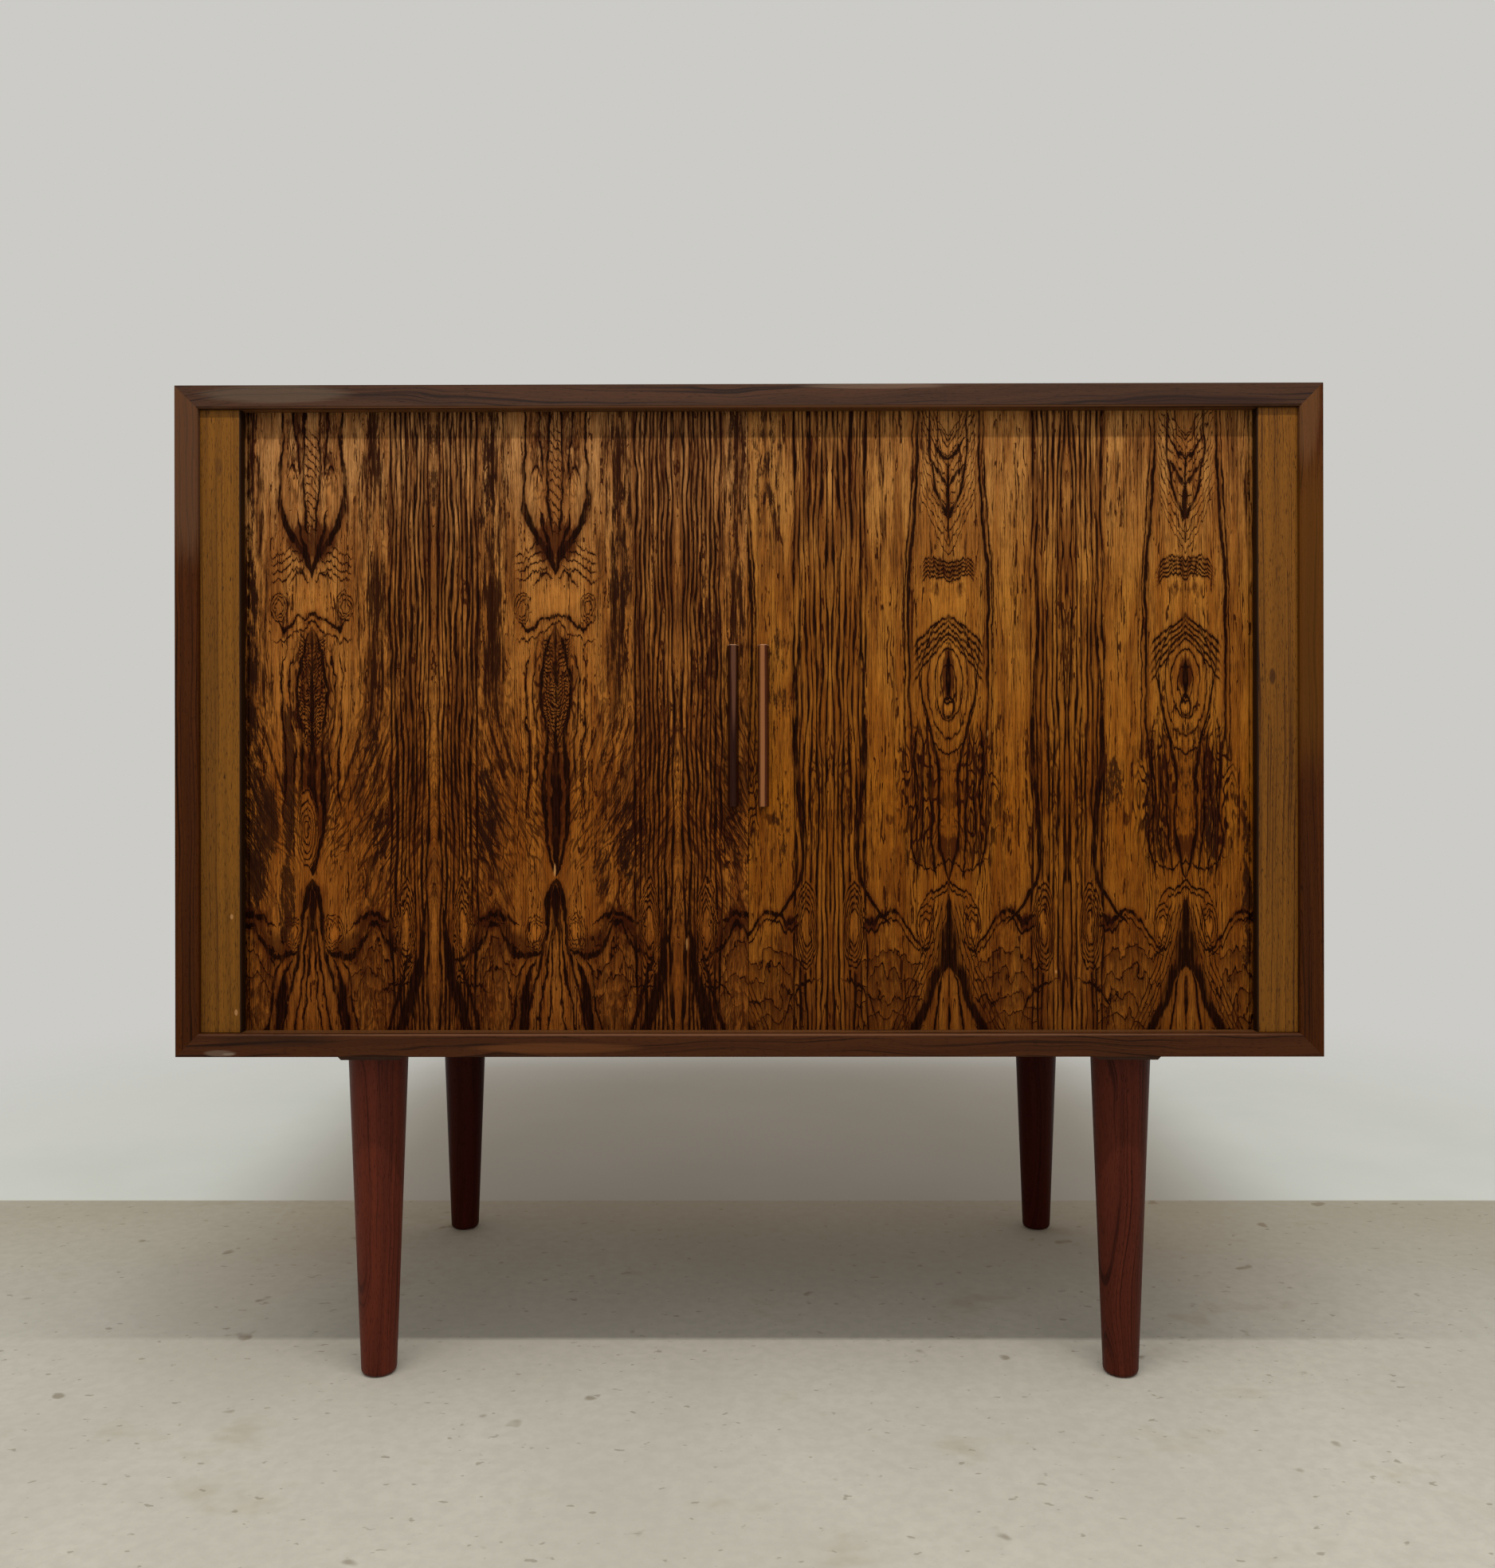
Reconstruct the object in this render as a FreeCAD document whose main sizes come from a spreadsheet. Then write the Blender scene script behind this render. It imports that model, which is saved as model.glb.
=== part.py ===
import FreeCAD, Part
import math
import os
import re
import Sketcher

# A tambour door cabinet on four tapered legs, in millimetres.
# X runs to the right, Y to the back and Z up; the origin is on the floor, under the middle of the case.

# Driving dimensions: name, millimetres, what it is
SIZES = (
    ("case_width", 900, "outside width of the case"),
    ("case_depth", 450, "outside depth of the case"),
    ("case_height", 527, "outside height of the case without its legs"),
    ("panel_thick", 18, "thickness of top, bottom and sides"),
    ("lipping_depth", 6, "depth of the solid edge band on the front"),
    ("lipping_chamfer", 1.5, "chamfer on the inner front arris of the edge band"),
    ("spline_width", 12, "width of the tongue in each mitre"),
    ("spline_thick", 4, "thickness of the tongue in each mitre"),
    ("spline_inset", 7, "distance of the tongue from both inner faces"),
    ("spline_stop", 30, "distance of the tongue's ends from the panel's front and back"),
    ("back_thick", 8, "thickness of the back panel"),
    ("back_lap", 9, "how far the back panel's rebate reaches into the panels"),
    ("back_slack", 0.5, "gap round the back panel in its rebate"),
    ("pilaster_width", 32, "width of the strip at each end of the doors"),
    ("pilaster_thick", 9, "thickness of that strip"),
    ("pilaster_setback", 5.5, "distance of the strip behind the front edge"),
    ("pilaster_gap", 0.3, "gap round the strip"),
    ("pilaster_round", 2, "rounding of the strip's inner front arris"),
    ("dowel_radius", 2.5, "radius of the strip's dowels"),
    ("dowel_length", 20, "length of the strip's dowels"),
    ("dowel_lead", 8, "length of a dowel inside the case panel"),
    ("dowel_spacing", 16, "distance between the two dowels of an end"),
    ("slat_pitch", 8.8, "distance from slat to slat"),
    ("slat_gap", 0.3, "gap between two slats"),
    ("slat_thick", 6, "thickness of a slat"),
    ("slat_setback", 16, "distance of the doors behind the front edge"),
    ("canvas_thick", 0.8, "thickness of the canvas behind the slats"),
    ("canvas_margin", 3, "distance of the canvas from top and bottom panel"),
    ("side_gap", 0.8, "gap between a stored curtain and the side panel"),
    ("groove_depth", 5.5, "depth of the grooves that guide the slats"),
    ("groove_slack", 0.6, "gap between a groove's walls and the slats"),
    ("slat_end_slack", 0.4, "gap between a slat's end and the groove's floor"),
    ("door_gap", 0.3, "gap between the two closed doors"),
    ("stile_least", 16, "least width of a door's leading stile"),
    ("handle_length", 128, "length of a handle"),
    ("handle_base", 8.8, "width of a handle at the door"),
    ("handle_face", 4.7, "width of a handle's front"),
    ("handle_reach", 10.5, "how far a handle stands out"),
    ("handle_offset", 12, "distance of a handle's middle from the middle of the cabinet"),
    ("handle_drop", 4, "distance of a handle's middle below the middle of the case"),
    ("handle_round", 0.6, "rounding of a handle's front edges"),
    ("handle_screw_radius", 1.5, "radius of the handle screws"),
    ("handle_screw_head", 3, "radius of their heads"),
    ("handle_screw_length", 14, "their length"),
    ("handle_screw_inset", 22, "distance of a screw from the handle's end"),
    ("partition_thick", 10, "thickness of the inner side panels"),
    ("partition_gap", 1.4, "gap between the canvas and an inner side panel"),
    ("partition_setback", 2, "distance of an inner side panel behind the curtain's bend"),
    ("shelf_thick", 16, "thickness of the shelf"),
    ("shelf_slack", 1, "gap between the shelf's ends and the inner side panels"),
    ("shelf_setback", 75, "distance of the shelf behind the front edge"),
    ("shelf_back_gap", 12, "distance of the shelf from the back panel"),
    ("shelf_round", 1.5, "rounding of the shelf's front arrises"),
    ("pin_radius", 2.5, "radius of the shelf pins"),
    ("pin_embed", 8, "length of a shelf pin inside the panel"),
    ("pin_reach", 8, "length of a shelf pin under the shelf"),
    ("pin_inset", 40, "distance of a shelf pin from the shelf's front or back"),
    ("pin_step", 32, "distance from one pin hole to the next above it"),
    ("rail_width", 52, "width of a leg rail"),
    ("rail_thick", 9, "thickness of a leg rail"),
    ("rail_setback", 29, "distance of a rail's ends from the case's front and back"),
    ("rail_chamfer", 2.5, "chamfer along a rail's lower edges"),
    ("leg_height", 262, "height of a leg"),
    ("leg_top_radius", 24, "radius of a leg at its top"),
    ("leg_toe_radius", 14.2, "radius of a leg at its toe"),
    ("leg_toe_round", 4, "rounding of a leg's toe"),
    ("leg_side_inset", 145, "distance of a leg's middle from the side"),
    ("leg_inset", 55, "distance of a leg's middle from the front or back"),
    ("bolt_radius", 4, "radius of the legs' hanger bolts"),
    ("bolt_in_leg", 35, "length of a hanger bolt inside the leg"),
    ("bolt_in_panel", 12, "length of a hanger bolt inside the bottom panel"),
    ("screw_radius", 2, "radius of the rail and back screws"),
    ("screw_head", 4, "radius of their heads"),
    ("screw_length", 20, "length of the rail screws"),
    ("rail_screw_inset", 62, "distance from a leg's middle to the first rail screw"),
    ("back_screw_length", 25, "length of the back screws"),
    ("back_screw_margin", 4.5, "distance of the back screws from the rebate's wall"),
    ("back_screw_end", 60, "distance of the outer back screws from the case's corners"),
    ("fit_slack", 0.05, "gap round a pin, bolt, dowel or screw in its hole"),
    ("end_slack", 0.5, "gap at the end of a pin, bolt, dowel or screw in its hole"),
)

# Slats that a curtain needs to go round its corner
SLATS_ON_ARC = 5
# Degrees that each of them takes of the quarter turn
SLAT_TURN = 90.0 / SLATS_ON_ARC
# Pin holes above and below the one in use
SPARE_PIN_HOLES = 2
# Screws along one edge of the back panel
BACK_SCREWS_PER_SIDE = 3
BACK_SCREWS_PER_LENGTH = 4
# Screws along a leg rail
SCREWS_PER_RAIL = 3

# Values worked out from the driving dimensions: name, formula
LAYOUT = (
    ("half_width", "case_width / 2"),
    ("front", "-case_depth / 2"),
    ("rear", "case_depth / 2"),
    ("case_bottom", "leg_height + rail_thick"),
    ("case_top", "case_bottom + case_height"),
    ("case_middle", "case_bottom + case_height / 2"),
    ("inner_half", "half_width - panel_thick"),
    ("inner_bottom", "case_bottom + panel_thick"),
    ("inner_top", "case_top - panel_thick"),
    ("inner_height", "inner_top - inner_bottom"),
    ("back_face", "rear - back_thick"),
    ("slat_front", "front + slat_setback"),
    ("slat_back", "slat_front + slat_thick"),
    ("arc_radius", "%d * slat_pitch * 2 / pi" % SLATS_ON_ARC),
    ("path_half", "inner_half - side_gap - slat_thick"),
    ("arc_x", "path_half - arc_radius"),
    ("arc_y", "slat_back + arc_radius"),
    ("slats_in_line", "floor((arc_x - door_gap / 2 - stile_least) / slat_pitch)"),
    ("main_slats", "slats_in_line - %d" % SLATS_ON_ARC),
    ("stile_width", "arc_x - door_gap / 2 - slats_in_line * slat_pitch - slat_gap / 2"),
    ("slat_width", "slat_pitch - slat_gap"),
    ("slat_bottom", "inner_bottom - groove_depth + slat_end_slack"),
    ("slat_height", "inner_height + 2 * (groove_depth - slat_end_slack)"),
    ("canvas_bottom", "inner_bottom + canvas_margin"),
    ("canvas_height", "inner_height - 2 * canvas_margin"),
    ("strip_width", "slat_width * (arc_radius - canvas_thick) / arc_radius"),
    ("partition_face", "path_half - canvas_thick - partition_gap - partition_thick"),
    ("partition_front", "arc_y + partition_setback"),
    ("shelf_front", "front + shelf_setback"),
    ("shelf_depth", "back_face - shelf_back_gap - shelf_front"),
    ("shelf_bottom", "inner_bottom + (inner_height - shelf_thick) / 2"),
    ("pin_level", "shelf_bottom - pin_radius - fit_slack"),
    ("handle_middle", "case_middle - handle_drop"),
    ("leg_x", "half_width - leg_side_inset"),
    ("leg_y", "case_depth / 2 - leg_inset"),
)

SIZE_NAMES = {name for name, value, note in SIZES}
LAYOUT_NAMES = {name for name, formula in LAYOUT}

doc = FreeCAD.newDocument("tambour_door_cabinet")


def full(expression):
    """The expression with its sheet's name before each named value."""

    def prefix(match):
        word = match.group(0)
        if word in SIZE_NAMES:
            return "Sizes." + word
        if word in LAYOUT_NAMES:
            return "Layout." + word
        return word

    return re.sub(r"[a-z][a-z0-9_]*", prefix, expression)


# The sheet of driving dimensions
sizes = doc.addObject("Spreadsheet::Sheet", "Sizes")
for row, (name, value, note) in enumerate(SIZES, 1):
    sizes.set("A%d" % row, note)
    sizes.set("B%d" % row, str(value))
    sizes.setAlias("B%d" % row, name)

# The sheet of worked-out values
layout = doc.addObject("Spreadsheet::Sheet", "Layout")
for row, (name, formula) in enumerate(LAYOUT, 1):
    layout.set("A%d" % row, name)
    layout.setAlias("B%d" % row, name)
    layout.set("B%d" % row, "=" + full(formula).replace("Layout.", ""))
doc.recompute()

MAIN_SLATS = int(layout.get("main_slats"))

# Directions that a pin or screw can point in, as the turn that brings +Z there
UP = ((0, 0, 1), 0)
BACKWARD = ((1, 0, 0), -90)
FORWARD = ((1, 0, 0), 90)
RIGHTWARD = ((0, 1, 0), 90)
LEFTWARD = ((0, 1, 0), -90)


def bind(thing, prop, expression):
    """Tie a property to an expression of the sheets' values."""
    thing.setExpression(prop, full(expression))


def place(thing, base, direction=UP):
    """Turn a thing and tie its place to three expressions."""
    axis, angle = direction
    turn = FreeCAD.Rotation(FreeCAD.Vector(*axis), angle)
    thing.Placement = FreeCAD.Placement(FreeCAD.Vector(0, 0, 0), turn)
    for letter, expression in zip("xyz", base):
        bind(thing, "Placement.Base." + letter, expression)


def low_x(side, near, far):
    """The lower X of a span from near to far, measured outwards on one side of the middle."""
    if side > 0:
        return near
    return "-(%s)" % far


def box(name, corner, size, direction=UP):
    """A block from its lowest corner and its size."""
    block = doc.addObject("Part::Box", name)
    for prop, expression in zip(("Length", "Width", "Height"), size):
        bind(block, prop, expression)
    place(block, corner, direction)
    return block


def rod(name, base, radius, length, direction=UP):
    """A round rod from the middle of its first end."""
    cylinder = doc.addObject("Part::Cylinder", name)
    bind(cylinder, "Radius", radius)
    bind(cylinder, "Height", length)
    place(cylinder, base, direction)
    return cylinder


def fuse(name, pieces):
    """Several solids as one shape."""
    if len(pieces) == 1:
        return pieces[0]
    union = doc.addObject("Part::MultiFuse", name)
    union.Shapes = pieces
    return union


def cut(node, blank, cutters):
    """A sub-part that is a blank less its cutters."""
    cutter = fuse(node + "_cutter", cutters)
    piece = doc.addObject("Part::Cut", node)
    piece.Base = blank
    piece.Tool = cutter
    return piece


def group(node, solids):
    """A sub-part of several separate solids."""
    several = doc.addObject("Part::Compound", node)
    several.Links = solids
    return several


def origin_plane(body, role):
    """One of a body's own origin planes."""
    for feature in body.Origin.OriginFeatures:
        if feature.Role == role:
            return feature
    raise ValueError("no plane " + role)


def outline(body, name, plane, corners):
    """A closed sketch of straight lines whose corners are pairs of expressions."""
    sketch = body.newObject("Sketcher::SketchObject", name + "_outline")
    sketch.AttachmentSupport = (origin_plane(body, plane), "")
    sketch.MapMode = "FlatFace"
    count = len(corners)
    turn = 2 * math.pi / count
    starts = [FreeCAD.Vector(math.cos(i * turn), math.sin(i * turn), 0) for i in range(count)]
    for i in range(count):
        sketch.addGeometry(Part.LineSegment(starts[i], starts[(i + 1) % count]), False)
    for i in range(count):
        sketch.addConstraint(Sketcher.Constraint("Coincident", i, 2, (i + 1) % count, 1))
    for i, corner in enumerate(corners):
        for kind, letter, expression in zip(("DistanceX", "DistanceY"), "xy", corner):
            start = getattr(starts[i], letter)
            number = sketch.addConstraint(Sketcher.Constraint(kind, -1, 1, i, 1, start))
            label = "corner%d_%s" % (i + 1, letter)
            sketch.renameConstraint(number, label)
            sketch.setExpression("Constraints." + label, full(expression))
    return sketch


def padded(name, plane, corners, length, base, backward=False):
    """A body of one outline, padded along the plane's normal."""
    body = doc.addObject("PartDesign::Body", name)
    sketch = outline(body, name, plane, corners)
    pad = body.newObject("PartDesign::Pad", name + "_pad")
    pad.Profile = sketch
    bind(pad, "Length", length)
    pad.Reversed = backward
    place(body, base)
    doc.recompute()
    return body


def edges_at(body, test):
    """The names of the edges of a body's last feature whose middle passes a test."""
    names = []
    for number, edge in enumerate(body.Tip.Shape.Edges, 1):
        middle = edge.valueAt((edge.FirstParameter + edge.LastParameter) / 2)
        if test(middle, edge):
            names.append("Edge%d" % number)
    return names


def dress(body, kind, prop, size, test):
    """Chamfer or round the edges of a body that pass a test."""
    base = body.Tip
    names = edges_at(body, test)
    dressing = body.newObject("PartDesign::" + kind, body.Name + "_" + kind.lower())
    dressing.Base = (base, names)
    bind(dressing, prop, size)
    body.Tip = dressing
    doc.recompute()
    return body


def screw(name, head, direction, radius, head_radius, length, slack="0"):
    """A countersunk screw from the middle of its head; with slack, the hole for it."""
    shank = rod(name + "_shank", head, "%s + %s" % (radius, slack), "%s + 10 * %s" % (length, slack), direction)
    taper = doc.addObject("Part::Cone", name + "_taper")
    bind(taper, "Radius1", "%s + %s" % (head_radius, slack))
    bind(taper, "Radius2", "%s + %s" % (radius, slack))
    bind(taper, "Height", "%s - %s" % (head_radius, radius))
    place(taper, head, direction)
    return fuse(name, [shank, taper])


# The parts that become files, each with its own label
nodes = {}


def keep(node, piece):
    """Name a finished sub-part."""
    piece.Label = node
    nodes[node] = piece


SIDES = (("left", -1), ("right", 1))
ENDS = (("front", -1), ("rear", 1))
LEVELS = (("bottom", -1), ("top", 1))

# Holes in the case panels, gathered by panel as their fittings are placed
case_cutters = {"top": [], "bottom": [], "left": [], "right": []}

# Mitre tongues: one in each corner of the case, turned by 45 degrees, with its slots in both panels
HALF_DIAGONAL = math.sqrt(0.5)
tongues = []
for level, up in LEVELS:
    for side_name, side in SIDES:
        corner_x = "%d * (inner_half + spline_inset)" % side
        corner_z = "inner_top + spline_inset" if up > 0 else "inner_bottom - spline_inset"
        lean = side * up
        for target, slack in (("tongue", "0"), (level, "fit_slack"), (side_name, "fit_slack")):
            width = "(spline_width + 2 * %s)" % slack
            thick = "(spline_thick + 2 * %s)" % slack
            tongue = box(
                "%s_%s_spline_%s" % (level, side_name, target),
                (
                    "%s - %.9f * (%s - %d * %s) / 2" % (corner_x, HALF_DIAGONAL, width, lean, thick),
                    "front + lipping_depth + spline_stop - %s" % slack,
                    "%s + %.9f * (%d * %s - %s) / 2" % (corner_z, HALF_DIAGONAL, lean, width, thick),
                ),
                (width, "case_depth - lipping_depth - 2 * spline_stop + 2 * %s" % slack, thick),
                ((0, 1, 0), 45 * lean),
            )
            if target == "tongue":
                tongues.append(tongue)
            else:
                case_cutters[target].append(tongue)
keep("mitre_splines", group("mitre_splines", tongues))

# Corners of the case's mitred outline, seen from the front
OUTER = {
    ("left", "bottom"): ("-half_width", "case_bottom"),
    ("right", "bottom"): ("half_width", "case_bottom"),
    ("left", "top"): ("-half_width", "case_top"),
    ("right", "top"): ("half_width", "case_top"),
}
INNER = {
    ("left", "bottom"): ("-inner_half", "inner_bottom"),
    ("right", "bottom"): ("inner_half", "inner_bottom"),
    ("left", "top"): ("-inner_half", "inner_top"),
    ("right", "top"): ("inner_half", "inner_top"),
}
EDGE_ENDS = {
    "top": (("left", "top"), ("right", "top")),
    "bottom": (("left", "bottom"), ("right", "bottom")),
    "left": (("left", "bottom"), ("left", "top")),
    "right": (("right", "bottom"), ("right", "top")),
}


def mitred(name, edge, depth, base_y):
    """A board of one edge of the case, mitred at both ends."""
    first, second = EDGE_ENDS[edge]
    corners = (OUTER[first], OUTER[second], INNER[second], INNER[first])
    return padded(name, "XZ_Plane", corners, depth, ("0", base_y, "0"), backward=True)


def near(a, b):
    """Whether two lengths are the same."""
    return abs(a - b) < 0.01


# Edge bands: mitred strips on the case's front, chamfered along their inner front arris
for edge in EDGE_ENDS:
    band = mitred(edge + "_lipping", edge, "lipping_depth", "front")
    inner_levels = {"top": layout.get("inner_top"), "bottom": layout.get("inner_bottom")}

    def inner_arris(middle, line, edge=edge):
        """Whether an edge is the long inner one of the band's front face."""
        if not near(middle.y, 0):
            return False
        if edge in inner_levels:
            return near(middle.z, inner_levels[edge])
        return near(abs(middle.x), layout.get("inner_half"))

    dress(band, "Chamfer", "Size", "lipping_chamfer", inner_arris)
    keep(edge + "_lipping", band)

# Grooves for the slats, in top and bottom panel: straight along the front, round both corners, then to the back
groove_inner = "(arc_radius - canvas_thick - groove_slack)"
groove_outer = "(arc_radius + slat_thick + groove_slack)"
groove_width = "(slat_thick + canvas_thick + 2 * groove_slack)"
for level, up in LEVELS:
    floor_z = "inner_top" if up > 0 else "inner_bottom - groove_depth"
    tracks = [
        box(
            level + "_front_groove",
            ("-arc_x", "slat_front - groove_slack", floor_z),
            ("2 * arc_x", groove_width, "groove_depth"),
        )
    ]
    for side_name, side in SIDES:
        near_x = "(arc_x + %s)" % groove_inner
        far_x = "(arc_x + %s)" % groove_outer
        tracks.append(
            box(
                "%s_%s_groove" % (level, side_name),
                (low_x(side, near_x, far_x), "arc_y", floor_z),
                (groove_width, "rear - arc_y", "groove_depth"),
            )
        )
        discs = []
        quarter = ((0, 0, 1), 180 if side < 0 else 270)
        for rim, radius in (("outer", groove_outer), ("inner", groove_inner)):
            disc = rod(
                "%s_%s_groove_%s" % (level, side_name, rim),
                ("%d * arc_x" % side, "arc_y", floor_z),
                radius,
                "groove_depth",
                quarter,
            )
            disc.Angle = 90
            discs.append(disc)
        bend = doc.addObject("Part::Cut", "%s_%s_groove_bend" % (level, side_name))
        bend.Base, bend.Tool = discs
        tracks.append(bend)
    case_cutters[level].append(fuse(level + "_groove", tracks))

# Rebate for the back panel, one block that is cut from all four panels
for edge in case_cutters:
    case_cutters[edge].append(
        box(
            edge + "_rebate",
            ("-inner_half - back_lap", "back_face", "inner_bottom - back_lap"),
            ("2 * (inner_half + back_lap)", "back_thick + 1", "inner_height + 2 * back_lap"),
        )
    )

# Pilasters: upright strips that hide the curtain's corners, each on two dowels above and two below
dowels = []
for side_name, side in SIDES:
    near_x = "(inner_half - pilaster_gap - pilaster_width)"
    far_x = "(inner_half - pilaster_gap)"
    low = low_x(side, near_x, far_x)
    strip = padded(
        side_name + "_pilaster_strip",
        "XY_Plane",
        (("0", "0"), ("pilaster_width", "0"), ("pilaster_width", "pilaster_thick"), ("0", "pilaster_thick")),
        "inner_height - 2 * pilaster_gap",
        (low, "front + pilaster_setback", "inner_bottom + pilaster_gap"),
    )
    arris_x = 0.0 if side > 0 else sizes.get("pilaster_width")
    dress(
        strip,
        "Fillet",
        "Radius",
        "pilaster_round",
        lambda middle, line, arris_x=arris_x: near(middle.x, arris_x) and near(middle.y, 0)
        and line.Length > sizes.get("pilaster_thick") * 2,
    )
    strip_holes = []
    for level, up in LEVELS:
        face = "inner_top" if up > 0 else "inner_bottom"
        start = "%s + %d * dowel_lead" % (face, up) if up < 0 else "%s + dowel_lead - dowel_length" % face
        for number, step in enumerate((-1, 1), 1):
            spot_x = "%d * (%s + %s) / 2 + %d * dowel_spacing / 2" % (side, near_x, far_x, step)
            spot_y = "front + pilaster_setback + pilaster_thick / 2"
            name = "%s_%s_dowel%d" % (side_name, level, number)
            dowels.append(rod(name, (spot_x, spot_y, start), "dowel_radius", "dowel_length"))
            for holes in (strip_holes, case_cutters[level]):
                holes.append(
                    rod(
                        name + "_hole%d" % len(holes),
                        (spot_x, spot_y, start + " - end_slack"),
                        "dowel_radius + fit_slack",
                        "dowel_length + 2 * end_slack",
                    )
                )
    keep(side_name + "_pilaster", cut(side_name + "_pilaster", strip, strip_holes))
keep("pilaster_dowels", group("pilaster_dowels", dowels))

# Back panel with its screws into the rebate's floor all round
panel_low_x = "(-inner_half - back_lap + back_slack)"
panel_low_z = "(inner_bottom - back_lap + back_slack)"
back_blank = box(
    "back_blank",
    (panel_low_x, "back_face", panel_low_z),
    ("2 * (inner_half + back_lap - back_slack)", "back_thick", "inner_height + 2 * (back_lap - back_slack)"),
)
screw_places = []
for side_name, side in SIDES:
    for i in range(BACK_SCREWS_PER_SIDE):
        share = i / (BACK_SCREWS_PER_SIDE - 1)
        spot_x = "%d * (inner_half + back_screw_margin)" % side
        spot_z = "inner_bottom + back_screw_end + %.6f * (inner_height - 2 * back_screw_end)" % share
        screw_places.append((side_name, spot_x, spot_z))
for level, up in LEVELS:
    for i in range(BACK_SCREWS_PER_LENGTH):
        share = i / (BACK_SCREWS_PER_LENGTH - 1)
        spot_x = "-inner_half + back_screw_end + %.6f * 2 * (inner_half - back_screw_end)" % share
        spot_z = "inner_top + back_screw_margin" if up > 0 else "inner_bottom - back_screw_margin"
        screw_places.append((level, spot_x, spot_z))
back_screws = []
back_holes = []
for number, (edge, spot_x, spot_z) in enumerate(screw_places, 1):
    head = (spot_x, "rear", spot_z)
    wood = ("screw_radius", "screw_head", "back_screw_length")
    back_screws.append(screw("back_screw%d" % number, head, FORWARD, *wood))
    back_holes.append(screw("back_hole%d" % number, head, FORWARD, *wood, slack="fit_slack"))
    case_cutters[edge].append(screw("%s_back_hole%d" % (edge, number), head, FORWARD, *wood, slack="fit_slack"))
keep("back_panel", cut("back_panel", back_blank, back_holes))
keep("back_screws", group("back_screws", back_screws))

# Leg rails and legs: the hanger bolts go from each leg through its rail into the bottom panel
bolts = []
rail_screws = []
for side_name, side in SIDES:
    profile = (
        ("-rail_width / 2", "rail_chamfer"),
        ("-rail_width / 2 + rail_chamfer", "0"),
        ("rail_width / 2 - rail_chamfer", "0"),
        ("rail_width / 2", "rail_chamfer"),
        ("rail_width / 2", "rail_thick"),
        ("-rail_width / 2", "rail_thick"),
    )
    rail_x = "%d * leg_x" % side
    rail = padded(
        side_name + "_rail_bar",
        "XZ_Plane",
        profile,
        "case_depth - 2 * rail_setback",
        (rail_x, "front + rail_setback", "leg_height"),
        backward=True,
    )
    rail_holes = []
    for end_name, end in ENDS:
        leg_name = "%s_%s_leg" % (end_name, side_name)
        spot_y = "%d * leg_y" % end
        blank = doc.addObject("PartDesign::Body", leg_name + "_turning")
        section = outline(
            blank,
            blank.Name,
            "XZ_Plane",
            (("0", "0"), ("leg_toe_radius", "0"), ("leg_top_radius", "leg_height"), ("0", "leg_height")),
        )
        turning = blank.newObject("PartDesign::Revolution", leg_name + "_revolution")
        turning.Profile = section
        turning.ReferenceAxis = (section, ["V_Axis"])
        turning.Angle = 360
        place(blank, (rail_x, spot_y, "0"))
        doc.recompute()
        dress(
            blank,
            "Fillet",
            "Radius",
            "leg_toe_round",
            lambda middle, line: near(middle.z, 0) and abs(middle.x) + abs(middle.y) > 1 and line.Closed,
        )
        bolt_start = (rail_x, spot_y, "leg_height - bolt_in_leg")
        bolt_length = "(bolt_in_leg + rail_thick + bolt_in_panel)"
        bolts.append(rod(leg_name + "_bolt", bolt_start, "bolt_radius", bolt_length))
        hole_start = (rail_x, spot_y, "leg_height - bolt_in_leg - end_slack")
        hole_length = bolt_length + " + 2 * end_slack"
        for owner, holes in (("leg", None), ("rail", rail_holes), ("panel", case_cutters["bottom"])):
            hole = rod("%s_bolt_hole_%s" % (leg_name, owner), hole_start, "bolt_radius + fit_slack", hole_length)
            if holes is None:
                keep(leg_name, cut(leg_name, blank, [hole]))
            else:
                holes.append(hole)
    for number in range(SCREWS_PER_RAIL):
        share = 2.0 * number / (SCREWS_PER_RAIL - 1) - 1
        spot = (rail_x, "%.6f * (leg_y - rail_screw_inset)" % share, "leg_height")
        wood = ("screw_radius", "screw_head", "screw_length")
        name = "%s_rail_screw%d" % (side_name, number + 1)
        rail_screws.append(screw(name, spot, UP, *wood))
        rail_holes.append(screw(name + "_rail_hole", spot, UP, *wood, slack="fit_slack"))
        case_cutters["bottom"].append(screw(name + "_panel_hole", spot, UP, *wood, slack="fit_slack"))
    keep(side_name + "_leg_rail", cut(side_name + "_leg_rail", rail, rail_holes))
keep("leg_bolts", group("leg_bolts", bolts))
keep("rail_screws", group("rail_screws", rail_screws))

# Case panels, mitred at the corners, less all that is let into them
PANEL_NODES = {"top": "top_panel", "bottom": "bottom_panel", "left": "left_side_panel", "right": "right_side_panel"}
for edge, node in PANEL_NODES.items():
    board = mitred(node + "_board", edge, "case_depth - lipping_depth", "front + lipping_depth")
    keep(node, cut(node, board, case_cutters[edge]))

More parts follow.
